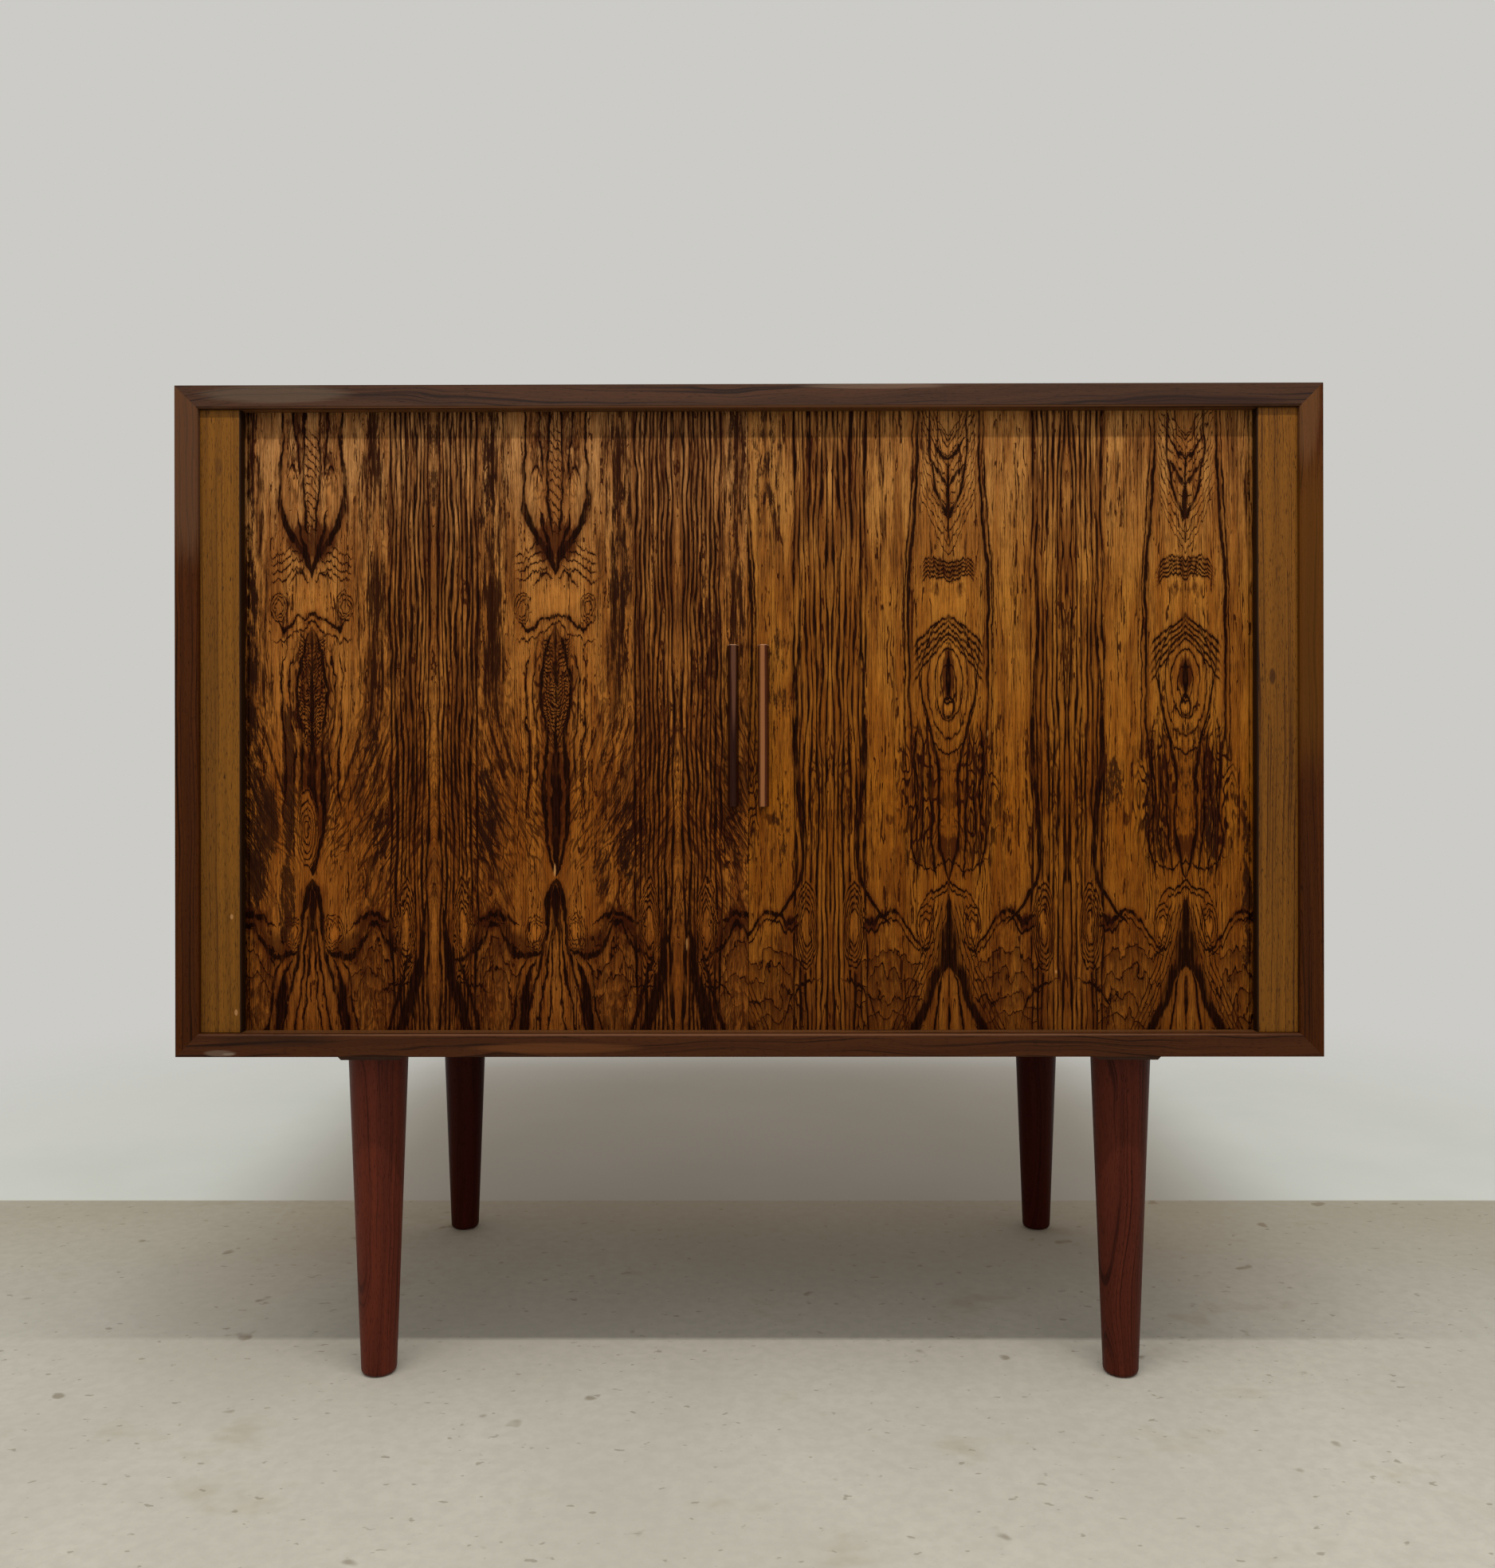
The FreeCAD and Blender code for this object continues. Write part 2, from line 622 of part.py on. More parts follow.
# Inner side panels with their columns of pin holes, the shelf and its pins
pins = []
pin_levels = range(-SPARE_PIN_HOLES, SPARE_PIN_HOLES + 1)
pin_places = ("shelf_front + pin_inset", "shelf_front + shelf_depth - pin_inset")
for side_name, side in SIDES:
    blank = box(
        side_name + "_partition_board",
        (
            low_x(side, "partition_face", "(partition_face + partition_thick)"),
            "partition_front",
            "inner_bottom",
        ),
        ("partition_thick", "back_face - partition_front", "inner_height"),
    )
    outward = RIGHTWARD if side > 0 else LEFTWARD
    holes = []
    for column, spot_y in enumerate(pin_places, 1):
        for step in pin_levels:
            holes.append(
                rod(
                    "%s_pin_hole%d_%d" % (side_name, column, step + SPARE_PIN_HOLES),
                    ("%d * (partition_face - 1)" % side, spot_y, "pin_level + %d * pin_step" % step),
                    "pin_radius + fit_slack",
                    "pin_embed + end_slack + 1",
                    outward,
                )
            )
        pins.append(
            rod(
                "%s_pin%d" % (side_name, column),
                ("%d * (partition_face - pin_reach)" % side, spot_y, "pin_level"),
                "pin_radius",
                "pin_reach + pin_embed",
                outward,
            )
        )
    keep(side_name + "_partition", cut(side_name + "_partition", blank, holes))
keep("shelf_pins", group("shelf_pins", pins))

shelf_half = "(partition_face - shelf_slack)"
shelf = padded(
    "shelf",
    "YZ_Plane",
    (("0", "0"), ("shelf_depth", "0"), ("shelf_depth", "shelf_thick"), ("0", "shelf_thick")),
    "2 * " + shelf_half,
    ("-" + shelf_half, "shelf_front", "shelf_bottom"),
)
dress(
    shelf,
    "Fillet",
    "Radius",
    "shelf_round",
    lambda middle, line: near(middle.y, 0) and line.Length > layout.get("shelf_depth"),
)
keep("shelf", shelf)


def slat(name, side, inset):
    """An upright slat of the straight closed run, by its middle's distance from the corner's bend."""
    middle = "%d * (arc_x - (%s) * slat_pitch)" % (side, inset)
    return box(
        name,
        (middle + " - slat_width / 2", "slat_front", "slat_bottom"),
        ("slat_width", "slat_thick", "slat_height"),
    )


def strip(name, side, inset):
    """The strip of canvas behind one slat of the straight closed run."""
    middle = "%d * (arc_x - (%s) * slat_pitch)" % (side, inset)
    return box(
        name,
        (middle + " - strip_width / 2", "slat_back", "canvas_bottom"),
        ("strip_width", "canvas_thick", "canvas_height"),
    )


def bent(name, side, angle, width, inner, thick, bottom, height):
    """A flat block square to the bend's radius, at an angle round the bend from its front end."""
    turn = side * angle
    cos = math.cos(math.radians(turn))
    sin = math.sin(math.radians(turn))
    outer = "(%s + %s)" % (inner, thick)
    return box(
        name,
        (
            "%d * arc_x - %.9f * %s / 2 + %.9f * %s" % (side, cos, width, sin, outer),
            "arc_y - %.9f * %s / 2 - %.9f * %s" % (sin, width, cos, outer),
            bottom,
        ),
        (width, thick, height),
        ((0, 0, 1), turn),
    )


# The two doors: leading stile with its handle, slats next to it, main curtain, and the slats round the corner
for side_name, side in SIDES:
    door = side_name + "_door_"

    # Stile, with countersunk holes for the handle's screws, which go in from behind
    near_x = "(door_gap / 2)"
    far_x = "(door_gap / 2 + stile_width)"
    stile_blank = box(
        door + "stile_bar",
        (low_x(side, near_x, far_x), "slat_front", "slat_bottom"),
        ("stile_width", "slat_thick + canvas_thick", "slat_height"),
    )
    bar = padded(
        door + "handle_bar",
        "XY_Plane",
        (
            ("-handle_base / 2", "0"),
            ("-handle_face / 2", "-handle_reach"),
            ("handle_face / 2", "-handle_reach"),
            ("handle_base / 2", "0"),
        ),
        "handle_length",
        ("%d * handle_offset" % side, "slat_front", "handle_middle - handle_length / 2"),
    )
    dress(
        bar,
        "Fillet",
        "Radius",
        "handle_round",
        lambda middle, line: near(middle.y, -sizes.get("handle_reach")),
    )
    handle_screws = []
    stile_holes = []
    handle_holes = []
    for number, up in enumerate((-1, 1), 1):
        head = (
            "%d * handle_offset" % side,
            "slat_back + canvas_thick",
            "handle_middle + %d * (handle_length / 2 - handle_screw_inset)" % up,
        )
        metal = ("handle_screw_radius", "handle_screw_head", "handle_screw_length")
        name = "%shandle_screw%d" % (door, number)
        handle_screws.append(screw(name, head, FORWARD, *metal))
        stile_holes.append(screw(name + "_stile_hole", head, FORWARD, *metal, slack="fit_slack"))
        handle_holes.append(screw(name + "_handle_hole", head, FORWARD, *metal, slack="fit_slack"))
    keep(door + "stile", cut(door + "stile", stile_blank, stile_holes))
    keep(door + "handle", cut(door + "handle", bar, handle_holes))
    keep(door + "handle_screws", group(door + "handle_screws", handle_screws))

    # Main curtain, which hangs straight when the door is shut and when it is open
    slats = [slat("%sslat_%d" % (door, i + 1), side, "%.1f" % (i + 0.5)) for i in range(MAIN_SLATS)]
    keep(door + "tambour_slats", group(door + "tambour_slats", slats))
    cloth = box(
        door + "tambour_canvas",
        (
            low_x(side, "(arc_x - main_slats * slat_pitch + slat_gap / 2)", "(arc_x - slat_gap / 2)"),
            "slat_back",
            "canvas_bottom",
        ),
        ("main_slats * slat_pitch - slat_gap", "canvas_thick", "canvas_height"),
    )
    keep(door + "tambour_canvas", cloth)

    # Slats next to the stile, which come to lie round the corner when the door is open
    for number in range(1, SLATS_ON_ARC + 1):
        node = "%scorner_slat_%d" % (door, number)
        inset = "main_slats + %.1f" % (SLATS_ON_ARC - number + 0.5)
        keep(node, group(node, [slat(node + "_wood", side, inset), strip(node + "_canvas", side, inset)]))

    # Slats that lie round the corner when the door is shut
    for number in range(1, SLATS_ON_ARC + 1):
        node = "%stail_slat_%d" % (door, number)
        angle = (number - 0.5) * SLAT_TURN
        wood = bent(
            node + "_wood", side, angle, "slat_width", "arc_radius", "slat_thick", "slat_bottom", "slat_height"
        )
        backing = bent(
            node + "_canvas",
            side,
            angle,
            "strip_width",
            "(arc_radius - canvas_thick)",
            "canvas_thick",
            "canvas_bottom",
            "canvas_height",
        )
        keep(node, group(node, [wood, backing]))

doc.recompute()

# Every feature has to be sound before anything is written
for thing in doc.Objects:
    if "Invalid" in thing.State or "Error" in thing.State:
        raise RuntimeError("failed feature: " + thing.Label)
for node, piece in nodes.items():
    if piece.Shape.isNull() or not piece.Shape.isValid():
        raise RuntimeError("bad shape: " + node)
    if piece.Shape.Volume <= 0:
        raise RuntimeError("no volume: " + node)

os.makedirs("parts", exist_ok=True)
for node, piece in nodes.items():
    piece.Shape.exportStep("parts/%s.step" % node)
    solids = len(piece.Shape.Solids)
    print("%-28s %3d solids %12.1f mm3" % (node, solids, piece.Shape.Volume))
print(len(nodes), "sub-parts")
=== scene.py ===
# %% [markdown]
# # A tambour door cabinet in Blender
#
# The cabinet is a mitred case on four turned legs. Its two doors are curtains of narrow
# slats, glued on canvas, that slide sideways and turn round the front corners into the case.
#
# The solid model is loaded first, as a fixed frame. Every piece made below sits where that
# frame says, in metres, with X to the right, Y to the back and Z up.

# %% Load the frame
import math
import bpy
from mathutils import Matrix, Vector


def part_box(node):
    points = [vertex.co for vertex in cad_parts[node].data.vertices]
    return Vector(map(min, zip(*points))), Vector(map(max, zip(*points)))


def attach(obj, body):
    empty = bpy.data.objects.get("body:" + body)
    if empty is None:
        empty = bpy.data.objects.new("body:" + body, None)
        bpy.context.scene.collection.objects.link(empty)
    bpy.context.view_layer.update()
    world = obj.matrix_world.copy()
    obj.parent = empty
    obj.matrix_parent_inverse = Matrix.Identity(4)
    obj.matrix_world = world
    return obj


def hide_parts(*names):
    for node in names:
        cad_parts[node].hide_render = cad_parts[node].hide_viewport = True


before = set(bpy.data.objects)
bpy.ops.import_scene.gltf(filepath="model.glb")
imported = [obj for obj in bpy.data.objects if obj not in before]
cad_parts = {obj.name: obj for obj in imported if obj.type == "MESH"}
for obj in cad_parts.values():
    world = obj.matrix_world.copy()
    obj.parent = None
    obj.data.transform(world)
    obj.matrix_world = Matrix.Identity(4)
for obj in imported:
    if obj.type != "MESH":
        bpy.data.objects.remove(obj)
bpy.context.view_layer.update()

from types import SimpleNamespace

import bmesh
import bpy

# %% [markdown]
# The photograph fixes the camera: straight on, a little above the middle of the doors, with
# the lens of a phone. Level verticals mean that the camera itself is level, and that a small
# shift, not a tilt, puts the cabinet where it is in the picture.

# %% Camera
scene = bpy.context.scene
scene.view_settings.view_transform = "Standard"


def stand(name, data):
    """A new object in the scene."""
    thing = bpy.data.objects.new(name, data)
    scene.collection.objects.link(thing)
    return thing


lens = bpy.data.cameras.new("camera")
lens.lens = 31.763
lens.sensor_width = 36
lens.shift_y = -0.0276
camera = stand("camera", lens)
camera.location = (0.0043, -1.308, 0.5186)
camera.rotation_euler = (math.radians(90), math.radians(0.086), math.radians(0.257))
scene.camera = camera
print("camera", round(-camera.location.y, 3), "m in front of the middle of the case")

# %% [markdown]
# A few sizes of the real cabinet are used again and again. The curtain runs straight along
# the front, then round a quarter circle. A place on it is one number: the distance along
# that path from the middle of the cabinet, which is where the two doors meet.

# %% Measures of the curtain
MM = 0.001
SLAT_PITCH = 8.8 * MM
SLAT_WIDE = 8.66 * MM
SLAT_THICK = 6 * MM
SLAT_ARRIS = 0.22 * MM
HALF_GAP = 0.15 * MM
SLATS_IN_BEND = 5
BEND_RADIUS = SLATS_IN_BEND * SLAT_PITCH * 2 / math.pi
SIDES = (("left", -1), ("right", 1))

(_, _, slat_bottom), (slats_right, slat_back, slat_top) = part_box("right_door_tambour_slats")
main_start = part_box("right_door_corner_slat_5")[1][0] + HALF_GAP
straight_end = slats_right + HALF_GAP
main_slats = round((straight_end - main_start) / SLAT_PITCH)
corner_start = main_start - SLATS_IN_BEND * SLAT_PITCH
# Slats that have a body each: the name of their lot, their number, and where the lot starts
SINGLE_SLATS = [(lot, number, start) for lot, start in (("corner", corner_start), ("tail", straight_end))
                for number in range(1, SLATS_IN_BEND + 1)]
print("main slats on each door:", main_slats, "radius of the bend:", round(BEND_RADIUS / MM, 2), "mm")

# %% [markdown]
# Shader and geometry trees hold a lot of arithmetic. A small class that wraps an output
# socket and overloads the operators lets it be written as plain sums, and each sign adds its
# own Math node. One method adds every other kind of node: settings first, then inputs.

# %% Sums written as sums
def sign(operation):
    """A method that adds one Math node."""
    return lambda wire, *others: wire.sum_of(operation, wire, *others)


def swapped(operation):
    """The same, for a plain number in front of the sign."""
    return lambda wire, other: wire.sum_of(operation, other, wire)


class Wire:
    """An output socket that can be added, multiplied and compared."""

    __add__, __radd__ = sign("ADD"), swapped("ADD")
    __sub__, __rsub__ = sign("SUBTRACT"), swapped("SUBTRACT")
    __mul__, __rmul__ = sign("MULTIPLY"), swapped("MULTIPLY")
    __truediv__, __abs__ = sign("DIVIDE"), sign("ABSOLUTE")
    least, most, rounded, root = sign("MINIMUM"), sign("MAXIMUM"), sign("ROUND"), sign("SQRT")
    sine, cosine, fraction, folded = sign("SINE"), sign("COSINE"), sign("FRACT"), sign("PINGPONG")

    def __init__(self, tree, socket):
        self.tree, self.socket = tree, socket

    def sum_of(self, operation, *values):
        vector = any(isinstance(v, Wire) and v.socket.type == "VECTOR" for v in values)
        kind = "ShaderNodeVectorMath" if vector else "ShaderNodeMath"
        return self.tree.add(kind, {"operation": operation}, dict(enumerate(values)))

    def fade(self, low, high, start=0.0, end=1.0):
        """start below low, end above high, and a smooth change between them."""
        return self.tree.add("ShaderNodeMapRange", {"interpolation_type": "SMOOTHSTEP"},
                             {0: self, 1: low, 2: high, 3: start, 4: end})

    def share_of(self, points, reach, height):
        """A smooth curve through (place, value) points. Both ends of the sum are shares, from 0 to 1."""
        scaled = [(place / reach, value / height) for place, value in points]
        return self.tree.add("ShaderNodeFloatCurve", {"points": scaled}, {1: self})

    def curve(self, points, reach, height=1):
        """The same curve in the units of its points, for places from 0 to reach."""
        return (self * (1 / reach)).share_of(points, reach, height) * height


class Tree:
    """A node tree that is filled from Python."""

    def __init__(self, tree):
        self.tree = tree

    def add(self, kind, settings=None, inputs=None, output=None):
        node = self.tree.nodes.new(kind)
        for name, value in (settings or {}).items():
            if name == "stops":
                ramp = node.color_ramp
                while len(ramp.elements) < len(value):
                    ramp.elements.new(0.5)
                for element, (place, colour) in zip(ramp.elements, value):
                    element.position, element.color = place, (*colour, 1)
            elif name == "points":
                line = node.mapping.curves[0]
                while len(line.points) < len(value):
                    line.points.new(0.5, 0.5)
                for point, place in zip(line.points, value):
                    point.location, point.handle_type = place, "AUTO_CLAMPED"
                node.mapping.update()
            else:
                setattr(node, name, value)
        for key, value in (inputs or {}).items():
            self.feed(node.inputs[key], value)
        shown = [s for s in node.outputs if s.enabled]
        return Wire(self, node.outputs[output] if output is not None else shown[0])

    def feed(self, socket, value):
        """Links a wire to a socket, or writes a plain value in it."""
        if isinstance(value, Wire):
            self.tree.links.new(value.socket, socket)
        else:
            socket.default_value = (*value, 1) if socket.type == "RGBA" else value

    def parts(self, vector):
        """The X, Y and Z of a vector."""
        split = self.add("ShaderNodeSeparateXYZ", {}, {0: vector}).socket.node
        return [Wire(self, socket) for socket in split.outputs]

    def join(self, x, y, z):
        return self.add("ShaderNodeCombineXYZ", {}, {0: x, 1: y, 2: z})

    def blend(self, share, below, above, kind="MIX"):
        """A mix of two colours."""
        return self.add("ShaderNodeMix", {"data_type": "RGBA", "blend_type": kind},
                        {0: share, 6: below, 7: above}, 2)

    def noise(self, vector, detail=2.0, rough=0.5):
        """Smooth noise of one unit's size, about 0.5."""
        return self.add("ShaderNodeTexNoise", {"noise_dimensions": "3D"}, {
            "Vector": vector, "Scale": 1.0, "Detail": detail, "Roughness": rough, "Distortion": 0.0})


print("sums ready")

# %% [markdown]
# Colours are written as they are seen on a screen, from 0 to 255, because that is how one
# reads them off a sample of wood. Blender wants linear light, so one helper converts them.

# %% Colours
def seen(*screen):
    """A screen colour as linear light."""
    return tuple((v / 255 / 12.92) if v <= 10.3 else ((v / 255 + 0.055) / 1.055) ** 2.4 for v in screen)


class Finish(Tree):
    """A material whose shader is filled in steps."""

    def __init__(self, name):
        self.material = bpy.data.materials.new(name)
        self.material.use_nodes = True
        super().__init__(self.material.node_tree)
        self.shader = self.tree.nodes["Principled BSDF"]

    def place(self):
        """Where a point is on the cabinet, in metres."""
        return self.add("ShaderNodeTexCoord", {}, {}, "Object")

    def figure(self):
        """Where a point is on a curtain, in metres: along its path, and below its top."""
        return self.parts(self.add("ShaderNodeAttribute", {"attribute_name": "figure"}, {}, "Vector"))[:2]

    def coat(self, ground, *layers):
        """Screen colours laid over a ground, each with its share."""
        for share, colour in layers:
            ground = self.blend(share, ground, seen(*colour))
        return ground

    def set(self, **values):
        for name, value in values.items():
            self.feed(self.shader.inputs[name.replace("_", " ").title().replace("Ior", "IOR")], value)

    def bump(self, height, depth, strength):
        """Relief of that depth, in metres, from a height of 0 to 1."""
        relief = {"Strength": strength, "Distance": depth, "Height": height}
        self.set(normal=self.add("ShaderNodeBump", {}, relief, "Normal"))


print("mid brown in linear light:", [round(v, 3) for v in seen(117, 66, 16)])

# %% [markdown]
# ## Solid wood and plain veneer
#
# Rosewood has broad soft bands, narrow dark lines that wander but hardly ever cross, and
# short open pores. All three follow the grain, so each one is noise that is stretched along
# the board. The same recipe, with other colours and strengths, gives the brown edge bands,
# the golden pilasters, the red legs and the pale wood inside.

# %% Timber
def timber(name, light, dark, grain, seed, lines, spacing, bands, pores, rough, shine, wander=1.0, marks=()):
    """Wood whose grain runs along axis 0, 1 or 2. Spacing is between dark lines, in millimetres.

    Marks on the front are wear, nicks, tone, painted shade and painted highlights: (x, z, half width, half
    height in millimetres, strength, colour).
    """
    finish = Finish(name)
    axes = [axis * 1000 for axis in finish.parts(finish.place())]
    along, across, deep = (axes[(grain + turn) % 3] + seed * shift for turn, shift in enumerate((37, 11, 5)))
    bend = (finish.noise(finish.join(along * 0.004, across * 0.012, deep * 0.012), 3) - 0.5) * (26 * wander)
    ring = (across + deep * 0.6 + bend) * (1 / spacing)
    band = finish.noise(finish.join(along * 0.0015, ring * 0.35, 0.0), 3, 0.6)
    line = finish.noise(finish.join(along * 0.0035, ring * 1.6, 3.0), 3, 0.62).fade(0.52, 0.66)
    fibre = finish.noise(finish.join(along * 0.03, across * 1.1, deep * 1.1), 2, 0.6)
    pore = finish.noise(finish.join(along * 0.16, across * 2.6, deep * 2.6), 1).fade(0.60, 0.70)
    light, dark = seen(*light), seen(*dark)
    mid = tuple(0.55 * a + 0.45 * b for a, b in zip(light, dark))
    colour = finish.blend(band.fade(0.34, 0.68) * bands, light, mid)
    colour = finish.blend(line * lines, colour, dark)
    colour = finish.blend(fibre.fade(0.35, 0.75) * 0.35, colour, mid)
    colour = finish.blend(pore * pores, colour, tuple(v * 0.45 for v in dark))
    for x, z, wide, high, strength, mark in marks:
        a, b = (axes[0] - x) / wide, (axes[2] - z) / high
        colour = finish.coat(colour, ((a * a + b * b + fibre * 0.6).fade(0.6, 1.2, strength, 0), mark))
    roughness = rough + (fibre - 0.5) * 0.15 + pore * 0.2
    finish.set(base_color=colour, roughness=roughness, specular_ior_level=shine)
    finish.bump(1 - pore - line * 0.3, 0.00006, 0.5)
    return finish.material


ALONG_X, ALONG_Y, ALONG_Z = 0, 1, 2
# Mark colours: a pale scuff, a paler line along an arris, near-black painted shade for the gaps beside the
# doors, a pale nick.
SCUFF, PALE_ARRIS, PAINTED_GAP_SHADE, NICK = (150, 134, 116), (112, 72, 44), (22, 9, 3), (176, 130, 84)
# The pale line at the top end of each handle: lighter end grain, with a painted highlight where the end
# catches the light.
END_GRAIN_AND_HIGHLIGHT = (168, 128, 100)
# Name, light and dark colour, grain, seed; lines, spacing, bands, pores, roughness, shine; wander, marks
TIMBERS = (
    # On the top band the thin pale streak at x 100, z 796 is a painted highlight.
    ("edge_band_level", (67, 39, 22), (22, 9, 4), ALONG_X, 3, 0.9, 2.6, 0.8, 0.6, 0.42, 0.14, 1.0, (
        (-370, 791, 70, 9, 0.3, (104, 90, 74)), (350, 784, 90, 5, 0.6, (36, 14, 6)),
        (100, 796, 70, 2.6, 0.3, (128, 104, 86)), (0, 780.6, 520, 0.9, 0.7, PALE_ARRIS))),
    ("edge_band_foot", (70, 36, 14), (24, 9, 3), ALONG_X, 5, 0.9, 2.6, 0.8, 0.6, 0.42, 0.08, 1.0, (
        (-370, 284, 60, 6, 0.45, (34, 18, 10)), (-150, 278, 80, 5, 0.35, (112, 66, 32)),
        (-415, 274.0, 15, 3.2, 0.22, SCUFF), (-408, 273.2, 6, 1.2, 0.3, SCUFF),
        (0, 288.2, 520, 0.9, 0.5, PALE_ARRIS))),
    ("edge_band_upright", (70, 33, 8), (20, 6, 1), ALONG_Z, 4, 0.95, 2.6, 0.9, 0.7, 0.42, 0.05, 1.0, (
        (-440, 760, 40, 120, 0.4, (98, 70, 50)), (440, 620, 40, 150, 0.35, (104, 64, 14)),
        (436, 790, 14, 70, 0.3, (120, 84, 52)))),
    ("case_veneer_level", (100, 62, 32), (32, 16, 8), ALONG_X, 6, 0.9, 6.0, 0.9, 0.6, 0.42, 0.14),
    ("case_veneer_upright", (100, 61, 30), (32, 16, 8), ALONG_Z, 8, 0.9, 6.0, 0.9, 0.6, 0.42, 0.14),
    # The first mark on each end strip darkens its inner edge, beside the doors, to near black: painted shade
    # in the gap.
    ("pilaster_wood_left", (117, 73, 16), (56, 28, 4), ALONG_Z, 12, 0.65, 3.0, 0.9, 0.9, 0.45, 0.1, 0.4, (
        (-400, 530, 1.5, 900, 0.95, PAINTED_GAP_SHADE), (-407.5, 380.5, 1.6, 2.6, 0.6, NICK),
        (-404, 305, 1.6, 3, 0.6, NICK), (-417, 735, 4, 9, 0.4, (60, 32, 10)))),
    ("pilaster_wood_right", (120, 74, 17), (48, 20, 3), ALONG_Z, 13, 0.95, 2.6, 0.7, 0.9, 0.45, 0.1, 0.6, (
        (400, 530, 1.5, 900, 0.95, PAINTED_GAP_SHADE), (412, 568.6, 3, 8, 0.75, (46, 22, 7)))),
    ("leg_wood", (94, 40, 25), (38, 13, 9), ALONG_Z, 15, 0.75, 4.0, 1.0, 0.7, 0.42, 0.08, 1.6),
    ("leg_wood_right", (82, 35, 22), (32, 10, 7), ALONG_Z, 18, 0.8, 3.4, 1.0, 0.7, 0.42, 0.06, 1.6),
    # The back legs get a darker copy of the leg wood: painted shade.
    ("rear_leg_wood", (58, 17, 9), (22, 4, 1), ALONG_Z, 16, 0.6, 4.0, 0.9, 0.7, 0.42, 0.05, 1.6),
    # On each handle the first mark, a pale strip down the lit edge of the left one and down the front of the
    # right one, is a painted highlight.
    ("handle_wood_left", (46, 18, 9), (18, 5, 2), ALONG_Z, 17, 0.9, 1.2, 0.9, 0.5, 0.4, 0.06, 0.5, (
        (-11.4, 600, 2.6, 95, 0.55, (104, 66, 46)), (-12, 595, 40, 1.3, 0.8, END_GRAIN_AND_HIGHLIGHT))),
    ("handle_wood_right", (72, 34, 18), (44, 18, 8), ALONG_Z, 19, 0.8, 1.2, 0.8, 0.5, 0.4, 0.06, 0.5, (
        (10.9, 530, 2.7, 400, 0.68, (150, 96, 56)), (12, 595, 40, 1.3, 0.8, END_GRAIN_AND_HIGHLIGHT))),
    ("inside_wood_upright", (150, 98, 58), (104, 60, 32), ALONG_Z, 21, 0.4, 6.0, 0.6, 0.5, 0.5, 0.3),
    ("inside_wood_level", (150, 98, 58), (104, 60, 32), ALONG_X, 23, 0.4, 6.0, 0.6, 0.5, 0.5, 0.3),
    ("back_board", (146, 104, 66), (104, 66, 38), ALONG_X, 25, 0.4, 9.0, 0.7, 0.5, 0.6, 0.2),
    ("hidden_wood", (188, 150, 104), (150, 108, 66), ALONG_Y, 27, 0.4, 5.0, 0.5, 0.5, 0.6, 0.2),
)
wood = {row[0]: timber(*row) for row in TIMBERS}
print("timbers:", len(wood))

# %% [markdown]
# ## The veneer of the doors
#
# Each door is covered with leaves cut one after the other from the same log and opened like
# the pages of a book, so that every second leaf is a mirror image. A curtain is veneered flat
# and then slit into slats, which is why the figure runs on from slat to slat.
#
# The slats carry two numbers for this: how far a point is along the curtain, and how far it
# is below the top. Folding the first number about the joints between the leaves gives the
# mirror images for nothing. What is left is to draw one leaf: dark strokes that follow a
# curve, and nests of growth lines round an eye or an arch.

# %% One leaf of veneer
LEAF_HIGH, LEAF_WIDE = 500, 100


class Leaf(Finish):
    """A book-matched veneer, in millimetres: out from the heart joint, and down from the top."""

    def __init__(self, name, door):
        super().__init__(name)
        self.seed = door.seed
        self.path, self.drop = (distance * 1000 for distance in self.figure())
        self.out = (self.path - door.heart).folded(door.leaf_width)
        # Leaves cut one after the other differ a little, so the noise drifts slowly along the door
        self.change = self.path * 0.003
        # Wood is cut through bundles of fibres, so a line that crosses them has saw teeth
        tooth = self.grain(self.out, 0.3, 0.02, 0, 2, 0.55, self.change) - 0.5
        nick = self.grain(self.out, 1.1, 0.07, 3, 1) - 0.5
        sway = self.grain(self.out, 0.05, 0.016, 5, drift=self.change) - 0.5
        ripple = self.grain(self.path, 0.25, 0.05, 9, 2, 0.6) - 0.5
        curl = self.grain(self.path, 0.09, 0.045, 11, 3, 0.6) - 0.5
        self.s = self.out + sway * 4 + ripple * (2.4 * door.wild) + nick * 0.6 + curl * (4 * door.wild)
        self.calm = self.out + sway * 8 + nick * 0.5
        self.e = self.drop + sway * 6 + tooth * 10 + nick * 2.4 + ripple * 3 + curl * (8 * door.wild)
        self.near = self.window = None

    def grain(self, across, fine, along, layer, detail=2, rough=0.5, drift=None):
        """Noise with that many grains in a millimetre across and along the leaf."""
        layer += self.seed
        depth = layer if drift is None else drift + layer
        return self.noise(self.join(across * fine, self.drop * along, depth), detail, rough)

    def mark(self, distance):
        """Keeps the least distance to any line, in half widths of that line."""
        self.near = distance if self.near is None else self.near.least(distance)

    def nest(self, depth, lines, half=0.16, away=0.0):
        """That many growth lines, at depth 0, 1, 2 and so on; half is their half width in that count."""
        whole = depth.rounded().least(lines - 1).most(0)
        self.mark(abs(depth - whole) / half + away)


print("leaf ready")

# %% [markdown]
# The finishes that are not wood: woven canvas behind the slats, steel screws and brass pins.
# The canvas is a plain weave, one thread over and one under, and its threads are only half a
# millimetre apart. The metals are small, so a slight brushing is enough.

